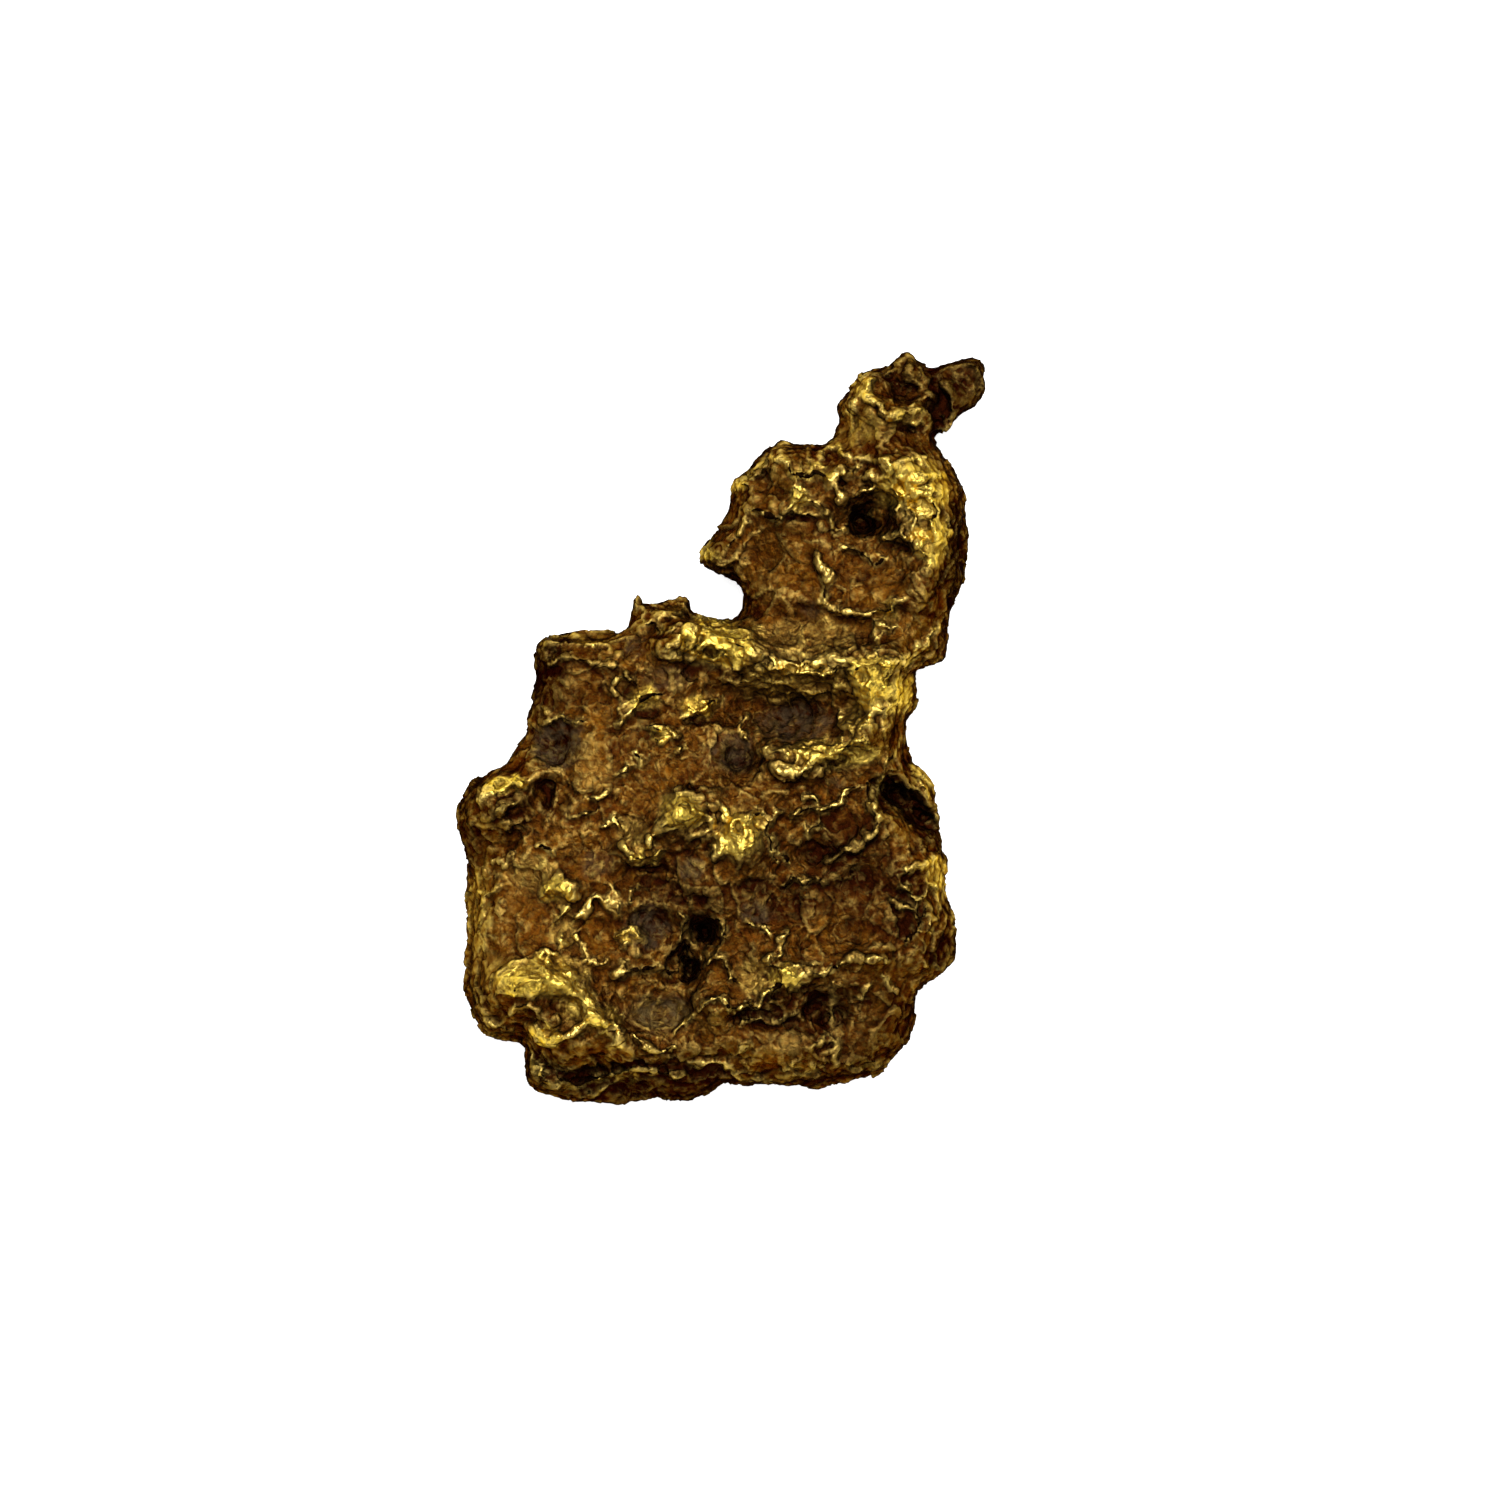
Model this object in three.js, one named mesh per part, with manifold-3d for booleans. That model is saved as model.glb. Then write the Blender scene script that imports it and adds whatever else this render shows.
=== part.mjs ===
// A natural gold nugget: one solid lump of native metal, lying on its back with its broad face up.
// It has a squarish body, a narrower head on a short neck, and a knob and a horn at the crown.
// Its face is ridged and pitted where quartz weathered out, and its back is a worn, lumpy slab.
// Millimetres, +Z up. The origin is under the middle of the nugget, on the plane that it rests on.

import * as THREE from 'three';
import { MarchingCubes } from 'three/addons/objects/MarchingCubes.js';
import { ImprovedNoise } from 'three/addons/math/ImprovedNoise.js';
import { mergeVertices } from 'three/addons/utils/BufferGeometryUtils.js';
import Module from 'manifold-3d';

// Driving dimensions
const FACE_HEIGHT = 5.2; // the broad face above the resting plane
const BACK_HEIGHT = 0.5; // the back between its worn feet
const GIRTH_HEIGHT = 2.3; // where the rim reaches furthest out
const RIM_RADIUS = 1.9; // how far in from the outline the rim is still rounding
const RIM_VARIATION = 0.6;
const RIM_ROUGHNESS = 0.4; // how far lumps push the rim in or out
const RIM_LUMP = 1.7;
const FACE_ROUGHNESS = 0.5; // how far broad lumps lift or lower the face
const FACE_LUMP = 2.6; // and how far apart they are
const KNURL_ROUGHNESS = 0.35; // the same for the small knurls among them
const KNURL = 1.3;
const BACK_ROUGHNESS = 0.5;
const BACK_LUMP = 3.4;
const CELL = 0.58; // pitch of the lattice that the surface is drawn through
const LATTICE = 58; // points along each side of that lattice
const CLEAR_OF_POINT = 0.06 * CELL; // keeps the surface off lattice points, so no edge is too short
const OUTLINE_STEPS = 420;
const MOST_TRIANGLES = 20000;
const CUTTER = 60;

// The outline seen from above, clockwise from the peak of the crown
const OUTLINE = [
  // peak, notch and horn
  [7.6, 15], [8, 14.5], [8.2, 14.2], [8.8, 14.5], [9.4, 14.8], [10, 14.9], [10.4, 14.5], [10.6, 13.9],
  [10.4, 13.3], [9.8, 12.7], [9.1, 12.2], [8.6, 11.5],
  // back of the head and neck
  [9.1, 10.8], [9.5, 9.9], [9.8, 8.9], [9.9, 7.5], [9.7, 6.2], [9.3, 5.1], [9.2, 3.8], [8.8, 2.9],
  [8, 2.3], [7.8, 1.3], [7.5, 0.1], [7.4, -0.9],
  // right flank and its lobe
  [7.8, -1.6], [8.4, -2.4], [8.7, -3.3], [8.7, -4.3], [8.9, -5.5], [8.9, -6.7], [9.3, -7.5], [9.4, -8.6],
  [9.1, -9.6], [8.5, -10.1], [7.9, -10.3], [7.8, -11.1], [7.6, -12.1], [7.1, -13.1], [6.2, -13.8],
  // foot of the body
  [4.9, -14.2], [3.6, -14.4], [2.3, -14.2], [0.6, -14.2], [-0.3, -14.6], [-1.5, -15], [-2.9, -14.8],
  [-4.7, -15], [-6.7, -14.8], [-7.6, -14.3], [-7.9, -13.5], [-7.9, -12.6],
  // toe and left side
  [-8.6, -12.6], [-9.3, -12.4], [-10, -11.5], [-10.4, -10.3], [-10.1, -9.3], [-10.2, -8.1], [-10.1, -6.5],
  [-10.2, -4.7], [-10.6, -3.8], [-10.5, -2.8], [-9.9, -2], [-9, -1.6], [-8.5, -1.3], [-8.1, -0.5],
  [-7.7, 0.2], [-7.7, 1.1], [-7.4, 2.5], [-7.6, 3.1],
  // left shoulder and its spikes
  [-7.1, 3.7], [-6.2, 3.8], [-4.9, 3.8], [-3.8, 3.9], [-3.6, 4.5], [-3.6, 5.2], [-3.4, 5.3], [-2.9, 5],
  [-2.5, 5.2], [-1.9, 5], [-1.5, 5.1], [-1.1, 4.6], [-0.2, 4.3], [0.5, 4.5],
  // notch, cheek, brow and knob
  [0.8, 5.3], [0.6, 5.9], [-0.3, 6.2], [-0.9, 6.8], [-0.6, 7.6], [0.4, 8.8], [0.4, 9.5], [0.4, 10],
  [1.4, 10.6], [2.1, 11.5], [2.7, 11.5], [4, 11.4], [4.6, 12.1], [4.5, 12.7], [5.1, 13.7], [5.8, 14.4],
  [6.6, 14.4], [7.2, 14.8],
];

// Ridges and grooves of the face: a path, how far its flanks reach, and how far it rises
const RIDGES = [
  {
    name: 'neck_ledge', reach: 0.95, rise: 1,
    path: [[-2.2, 3.2], [-1.3, 3.8], [-0.2, 3.8], [0.8, 3.2], [1.8, 2.6], [3.1, 2.3], [4.7, 2.5], [7.6, 2.9]],
  },
  { name: 'right_shoulder', reach: 1, rise: 0.9, path: [[6.8, 2.6], [6.6, 1.5], [6.4, 0.5], [5.6, -0.4]] },
  { name: 'diagonal_ridge', reach: 0.95, rise: 0.8, path: [[5.6, -0.5], [4.4, -1], [2.1, -1.8]] },
  { name: 'diagonal_spur', reach: 0.9, rise: 0.45, path: [[1.8, -0.7], [2.7, -1]] },
  { name: 'centre_wedge', reach: 0.95, rise: 0.8, path: [[-0.8, -3], [-1.6, -3.4], [-3.4, -5]] },
  {
    name: 'jagged_ridge', reach: 0.95, rise: 0.8,
    path: [[-0.9, -10.9], [0.4, -11.1], [1.8, -10.6], [2.6, -9.7], [4.3, -9.5], [6.2, -9.1]],
  },
  { name: 'jagged_spur', reach: 0.85, rise: 0.55, path: [[2.6, -9.6], [1.8, -9.1], [2.6, -8.2]] },
  {
    name: 'toe_rim', reach: 0.95, rise: 0.55,
    path: [[-9.2, -10.3], [-7.8, -9.8], [-6.5, -10], [-5.6, -10.7], [-4.9, -11.4], [-4, -12.5]],
  },
  { name: 'toe_lip', reach: 0.95, rise: 0.55, path: [[-4.9, -11.4], [-6, -12], [-7.1, -12.4]] },
  {
    name: 'fold_line', reach: 0.85, rise: 0.35,
    path: [[7.4, -0.7], [6.6, -1.7], [6.2, -2.7], [6.4, -3.9], [5.5, -4.7], [3.9, -5.6]],
  },
  { name: 'pit_rim', reach: 0.85, rise: 0.45, path: [[8.4, -2.3], [8.7, -3.3], [8.6, -4.6]] },
  { name: 'upper_step', reach: 0.85, rise: 0.4, path: [[7.2, -5.6], [8.2, -5.4], [8.8, -5]] },
  { name: 'lower_step', reach: 0.85, rise: 0.4, path: [[7, -6.2], [7.7, -6.7], [8.7, -6]] },
  { name: 'brow_rim', reach: 0.85, rise: 0.45, path: [[0.5, 9.9], [1.4, 10.5], [2.4, 11.3]] },
  { name: 'bowl_lip', reach: 0.85, rise: 0.45, path: [[1.2, 8.9], [2, 8.4], [3, 9], [3.6, 9.2]] },
  { name: 'brow_net', reach: 0.85, rise: 0.35, path: [[2.7, 10.3], [3.8, 10.1], [5.2, 10.3]] },
  { name: 'hole_rim', reach: 0.85, rise: 0.4, path: [[4.3, 9.8], [4.6, 9.1], [5.9, 9.4], [6.5, 10.2]] },
  { name: 'forehead', reach: 1.4, rise: 1.2, path: [[6.7, 10.5], [8.2, 9.6], [8.6, 7.9], [8.4, 5.5]] },
  { name: 'cheek_seam', reach: 0.85, rise: 0.3, path: [[4, 7], [4.2, 6.1], [4, 5]] },
  { name: 'neck_seam', reach: 0.85, rise: 0.3, path: [[3.1, 5], [5.1, 4.6], [6.8, 5], [8.5, 4.8]] },
  { name: 'knob_rim', reach: 0.85, rise: 0.55, path: [[5.4, 13.8], [5.6, 13], [6.6, 12.3], [7.6, 12.2]] },
  { name: 'crown_rim', reach: 0.85, rise: 0.35, path: [[5.8, 14.2], [6.7, 14.4], [7.6, 14.8]] },
  { name: 'shoulder_curl', reach: 0.85, rise: 0.45, path: [[-7.4, 3.1], [-6.8, 3.6], [-6, 3.6]] },
  { name: 'flank_pit', reach: 1, rise: -1.7, path: [[6.6, -2.5], [8.4, -3.9]] },
  { name: 'ridge_shadow', reach: 0.85, rise: -0.65, path: [[0.7, -11.4], [4.3, -11.4]] },
  { name: 'plate_split', reach: 0.85, rise: -0.45, path: [[4.2, -11.8], [4.4, -13.8]] },
  {
    name: 'skirt_groove', reach: 0.85, rise: -0.7,
    path: [[-7.1, -13.4], [-4.9, -13.4], [-2.5, -13.3], [-0.1, -13.5]],
  },
];

// Swells, lumps and pits of the face: a centre, how far it reaches along X and Y, and how far it rises
const MOUNDS = [
  { name: 'body_swell', at: [-0.9, -4.9], reach: [7.6, 6.8], rise: 0.6 },
  { name: 'toe_lump', at: [-7.1, -10.5], reach: [3, 1.9], rise: 0.9 },
  { name: 'left_lump', at: [-8.9, -2.9], reach: [1.8, 1.5], rise: 0.7 },
  { name: 'centre_lump', at: [1, -4.6], reach: [1.2, 1.4], rise: 1.4 },
  { name: 'wedge_lump', at: [-1.6, -3.4], reach: [0.95, 0.95], rise: 0.5 },
  { name: 'small_lump', at: [-6.4, -6.4], reach: [0.95, 0.95], rise: 0.6 },
  { name: 'lower_swell', at: [2.2, -12.7], reach: [2.2, 1.3], rise: 0.4 },
  { name: 'shoulder_sag', at: [-5.3, 1.5], reach: [3, 2.8], rise: -0.5 },
  { name: 'ledge_hollow', at: [1.7, 0.9], reach: [4.2, 1.7], rise: -1.2 },
  { name: 'cheek_plate', at: [1.6, 6.9], reach: [2.6, 2.1], rise: -0.8 },
  { name: 'neck_sag', at: [3.1, 4.2], reach: [3.4, 1.4], rise: -0.6 },
  { name: 'horn_drop', at: [9.8, 13.8], reach: [1.8, 1.8], rise: -1.7 },
  { name: 'flank_drop', at: [9.3, -8.7], reach: [1.4, 1.9], rise: -1.3 },
  { name: 'right_plate', at: [6.1, -12.1], reach: [2.6, 2.6], rise: -0.6 },
  { name: 'left_plate', at: [-8.1, -6.5], reach: [2.6, 3], rise: -0.3 },
  { name: 'skirt_drop', at: [-3.5, -14.7], reach: [5.2, 1.4], rise: -2 },
  { name: 'head_hole', at: [6.2, 8.4], reach: [1.3, 1], rise: -1.5 },
  { name: 'head_hole_deep', at: [5.4, 8.3], reach: [0.95, 0.95], rise: -1.2 },
  { name: 'knob_bowl', at: [7.3, 13.3], reach: [1.4, 0.95], rise: -1.2 },
  { name: 'knob_slot', at: [7.4, 11.8], reach: [0.95, 0.95], rise: -0.8 },
  { name: 'core_hole', at: [-0.8, -8.2], reach: [0.95, 0.95], rise: -1.9 },
  { name: 'core_hole_lower', at: [-1.4, -9.4], reach: [0.95, 0.95], rise: -1.9 },
  { name: 'core_hollow', at: [-2.7, -7.7], reach: [1.4, 1.3], rise: -0.9 },
  { name: 'core_shade', at: [-2.9, -6.1], reach: [1.8, 1], rise: -0.8 },
  { name: 'grey_pit', at: [-2.3, -11.4], reach: [1.7, 1.1], rise: -0.9 },
  { name: 'toe_cavity', at: [-6.2, -11.2], reach: [1.1, 0.95], rise: -0.9 },
  { name: 'left_hollow', at: [-6.8, -0.7], reach: [1.4, 1.2], rise: -0.9 },
  { name: 'lump_gap', at: [-6.8, -2.7], reach: [0.95, 0.95], rise: -1 },
  { name: 'lump_under_gap', at: [-8.1, -4.1], reach: [1, 0.95], rise: -0.7 },
  { name: 'curl_hollow', at: [-6.6, 2.9], reach: [1, 0.95], rise: -0.7 },
  { name: 'square_pit', at: [0.8, -1.2], reach: [1, 1], rise: -0.6 },
  { name: 'flank_hollow', at: [3.7, -5.1], reach: [1.6, 1], rise: -0.6 },
  { name: 'lower_hollow', at: [2.7, -7], reach: [1, 1], rise: -0.6 },
  { name: 'brow_bowl', at: [1.9, 9.5], reach: [1.1, 0.95], rise: -0.6 },
  { name: 'shoulder_pit', at: [4.8, 1], reach: [0.95, 1], rise: -0.4 },
];

// Worn feet of the back, which bear on the resting plane, and the hollows between them
const FOOT_DEPTH = -1.1;
const FEET = [
  { name: 'toe_foot', at: [-6.4, -9.8], reach: [3.6, 4], rise: FOOT_DEPTH },
  { name: 'plate_foot', at: [4.9, -10.2], reach: [3.8, 3.6], rise: FOOT_DEPTH },
  { name: 'shoulder_foot', at: [-4.9, 0.3], reach: [3.6, 3.4], rise: FOOT_DEPTH },
  { name: 'flank_foot', at: [4.6, -1.6], reach: [3.2, 3.8], rise: FOOT_DEPTH },
  { name: 'head_foot', at: [6, 8], reach: [3.4, 3.6], rise: FOOT_DEPTH },
];
const BACK_HOLLOWS = [
  { name: 'back_hollow', at: [-1.2, -5.2], reach: [3.6, 3.2], rise: 0.9 },
  { name: 'neck_hollow', at: [3.2, 4.2], reach: [2.6, 1.6], rise: 0.7 },
];

const noise = new ImprovedNoise();
const lumpiness = (x, y, pitch, layer) => noise.noise(x / pitch, y / pitch, layer);
const knottiness = (x, y, z, pitch) => noise.noise(x / pitch, y / pitch, z / pitch);

// A smooth hump: 1 at its middle, 0 from its edge outwards
const hump = (share) => (share < 1 ? (1 - share * share) ** 2 : 0);

const outlinePoints = new THREE.CatmullRomCurve3(
  OUTLINE.map(([x, y]) => new THREE.Vector3(x, y, 0)),
  true,
  'centripetal',
).getSpacedPoints(OUTLINE_STEPS);

function distanceToPath(x, y, path) {
  let nearest = Infinity;
  for (let i = 1; i < path.length; i++) {
    const [ax, ay] = path[i - 1];
    const [bx, by] = path[i];
    const along = ((x - ax) * (bx - ax) + (y - ay) * (by - ay)) / ((bx - ax) ** 2 + (by - ay) ** 2);
    const t = THREE.MathUtils.clamp(along, 0, 1);
    nearest = Math.min(nearest, Math.hypot(x - ax - t * (bx - ax), y - ay - t * (by - ay)));
  }
  return nearest;
}

// How far a point lies inside the outline, negative outside
function depthInOutline(x, y) {
  const path = outlinePoints.map((p) => [p.x, p.y]);
  let inside = false;
  for (let i = 1; i < path.length; i++) {
    const [ax, ay] = path[i - 1];
    const [bx, by] = path[i];
    if (ay > y !== by > y && x < ax + ((y - ay) / (by - ay)) * (bx - ax)) inside = !inside;
  }
  return distanceToPath(x, y, path) * (inside ? 1 : -1);
}

const riseOfMounds = (x, y, mounds) =>
  mounds.reduce((sum, { at, reach, rise }) => {
    const share = Math.hypot((x - at[0]) / reach[0], (y - at[1]) / reach[1]);
    return sum + rise * hump(share);
  }, 0);

const riseOfRidges = (x, y) =>
  RIDGES.reduce((sum, { path, reach, rise }) => sum + rise * hump(distanceToPath(x, y, path) / reach), 0);

// The lowest and highest point of the metal in the column at x, y
function columnAt(x, y) {
  const depth = depthInOutline(x, y);
  const rim = RIM_RADIUS + RIM_VARIATION * lumpiness(x, y, BACK_LUMP, 1.5);
  const open = 1 - THREE.MathUtils.clamp(depth / rim, 0, 1);
  const fullness = Math.sqrt(1 - open * open);
  const face =
    FACE_HEIGHT + riseOfMounds(x, y, MOUNDS) + riseOfRidges(x, y) +
    FACE_ROUGHNESS * lumpiness(x, y, FACE_LUMP, 4.5) + KNURL_ROUGHNESS * lumpiness(x, y, KNURL, 6.5);
  const back =
    BACK_HEIGHT + riseOfMounds(x, y, FEET) + riseOfMounds(x, y, BACK_HOLLOWS) +
    BACK_ROUGHNESS * lumpiness(x, y, BACK_LUMP, 8.5);
  return {
    depth,
    high: GIRTH_HEIGHT + (face - GIRTH_HEIGHT) * fullness,
    low: GIRTH_HEIGHT - (GIRTH_HEIGHT - back) * fullness,
  };
}

// The nugget's skin, drawn through the lattice where the metal ends
function makeSkin() {
  const cubes = new MarchingCubes(LATTICE, new THREE.MeshBasicMaterial(), false, false, MOST_TRIANGLES);
  const place = (i) => (i - LATTICE / 2) * CELL;
  cubes.isolation = 0;
  for (let i = 0; i < LATTICE; i++) {
    for (let j = 0; j < LATTICE; j++) {
      const x = place(i);
      const y = place(j);
      const { depth, high, low } = columnAt(x, y);
      for (let k = 0; k < LATTICE; k++) {
        const z = place(k);
        const reach = depth + RIM_ROUGHNESS * knottiness(x, y, z, RIM_LUMP);
        const inside = Math.min(high - z, z - low, reach);
        const clear = Math.max(Math.abs(inside), CLEAR_OF_POINT);
        cubes.setCell(i, j, k, inside < 0 ? -clear : clear);
      }
    }
  }
  cubes.update();
  const half = (LATTICE / 2) * CELL;
  const corners = cubes.positionArray.slice(0, cubes.count * 3);
  const skin = new THREE.BufferGeometry().setAttribute('position', new THREE.BufferAttribute(corners, 3));
  return mergeVertices(skin.scale(half, half, half));
}

const wasm = await Module();
wasm.setup();

function toSolid(geometry) {
  const bare = geometry.clone();
  bare.deleteAttribute('normal');
  bare.deleteAttribute('uv');
  const merged = mergeVertices(bare);
  return new wasm.Manifold(
    new wasm.Mesh({
      numProp: 3,
      vertProperties: merged.attributes.position.array,
      triVerts: new Uint32Array(merged.index.array),
    }),
  );
}

function toGeometry(solid) {
  const { vertProperties, triVerts } = solid.getMesh();
  const geometry = new THREE.BufferGeometry();
  geometry.setAttribute('position', new THREE.BufferAttribute(vertProperties, 3));
  geometry.setIndex(new THREE.BufferAttribute(triVerts, 1));
  geometry.computeVertexNormals();
  return geometry;
}

// The feet are worn flat where the nugget lies, and its middle is over the origin
function makeNugget() {
  const below = new THREE.BoxGeometry(CUTTER, CUTTER, CUTTER).translate(0, 0, -CUTTER / 2);
  const worn = toGeometry(toSolid(makeSkin()).subtract(toSolid(below)));
  worn.computeBoundingBox();
  const middle = worn.boundingBox.getCenter(new THREE.Vector3());
  worn.translate(-middle.x, -middle.y, 0);
  const gold = new THREE.MeshStandardMaterial({ color: 0xb8862b, metalness: 1, roughness: 0.45 });
  const mesh = new THREE.Mesh(worn, gold);
  mesh.name = 'nugget';
  return mesh;
}

const root = new THREE.Group();
root.name = 'gold_nugget';
root.add(makeNugget());

export default root;
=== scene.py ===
import bmesh
import bpy
import numpy as np
from mathutils import Matrix, Vector, noise


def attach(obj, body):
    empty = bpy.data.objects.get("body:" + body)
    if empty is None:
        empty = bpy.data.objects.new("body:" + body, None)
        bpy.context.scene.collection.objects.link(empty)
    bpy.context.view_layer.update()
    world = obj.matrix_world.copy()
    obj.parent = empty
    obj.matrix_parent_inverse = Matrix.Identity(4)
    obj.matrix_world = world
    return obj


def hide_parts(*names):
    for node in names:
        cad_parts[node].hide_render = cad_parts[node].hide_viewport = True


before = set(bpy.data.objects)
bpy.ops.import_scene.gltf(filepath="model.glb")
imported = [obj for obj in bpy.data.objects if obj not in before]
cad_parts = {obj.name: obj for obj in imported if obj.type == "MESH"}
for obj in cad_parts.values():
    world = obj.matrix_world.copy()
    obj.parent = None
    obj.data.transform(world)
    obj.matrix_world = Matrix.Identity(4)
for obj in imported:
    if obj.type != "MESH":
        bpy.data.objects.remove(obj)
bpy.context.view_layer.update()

# The nugget
# One lump of native gold that grew in a quartz vein, weathered out and was rolled by a stream.
# Its crests are worn bright; its hollows keep iron stain and a grey film of clay. Its pits, grooves, dark
# patches and side faces also carry painted shade, and a few shaded valleys carry painted light.
MM = 0.001
PER_METRE = 1000.0
NUGGET = "nugget"

# The lump: a merged copy of the solid, worked in millimetres, eased and given an even skin
MERGE = 0.002
EASING_PITCH = 0.2
EASING_ROUNDS = 3
EASING = 0.5
SKIN_PITCH = 0.08
SPARED_WEIGHT = 0.5


def lump_of(node):
    lump = bmesh.new()
    lump.from_mesh(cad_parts[node].data)
    bmesh.ops.scale(lump, vec=(PER_METRE, PER_METRE, PER_METRE), verts=lump.verts)
    bmesh.ops.remove_doubles(lump, verts=lump.verts, dist=MERGE)
    mesh = bpy.data.meshes.new("lump")
    lump.to_mesh(mesh)
    lump.free()
    return mesh


def with_modifier(mesh, kind, spared=None, **settings):
    draft = bpy.data.objects.new("draft", mesh)
    bpy.context.scene.collection.objects.link(draft)
    if spared is not None:
        group = draft.vertex_groups.new(name="thinned")
        group.add(np.nonzero(~spared)[0].tolist(), 1.0, "REPLACE")
        group.add(np.nonzero(spared)[0].tolist(), SPARED_WEIGHT, "REPLACE")
        settings["vertex_group"] = group.name
    modifier = draft.modifiers.new(kind, kind)
    for name, value in settings.items():
        setattr(modifier, name, value)
    evaluated = draft.evaluated_get(bpy.context.evaluated_depsgraph_get())
    result = bpy.data.meshes.new_from_object(evaluated)
    bpy.data.objects.remove(draft)
    return result


def even_skin(mesh, pitch):
    return with_modifier(mesh, "REMESH", mode="VOXEL", voxel_size=pitch, adaptivity=0.0)


def eased(mesh, rounds):
    soft = bmesh.new()
    soft.from_mesh(mesh)
    for _ in range(rounds):
        bmesh.ops.smooth_vert(
            soft, verts=soft.verts, factor=EASING, use_axis_x=True, use_axis_y=True, use_axis_z=True
        )
    soft.to_mesh(mesh)
    soft.free()
    return mesh


skin = eased(even_skin(lump_of(NUGGET), EASING_PITCH), EASING_ROUNDS)
skin = even_skin(skin, SKIN_PITCH)

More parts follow.
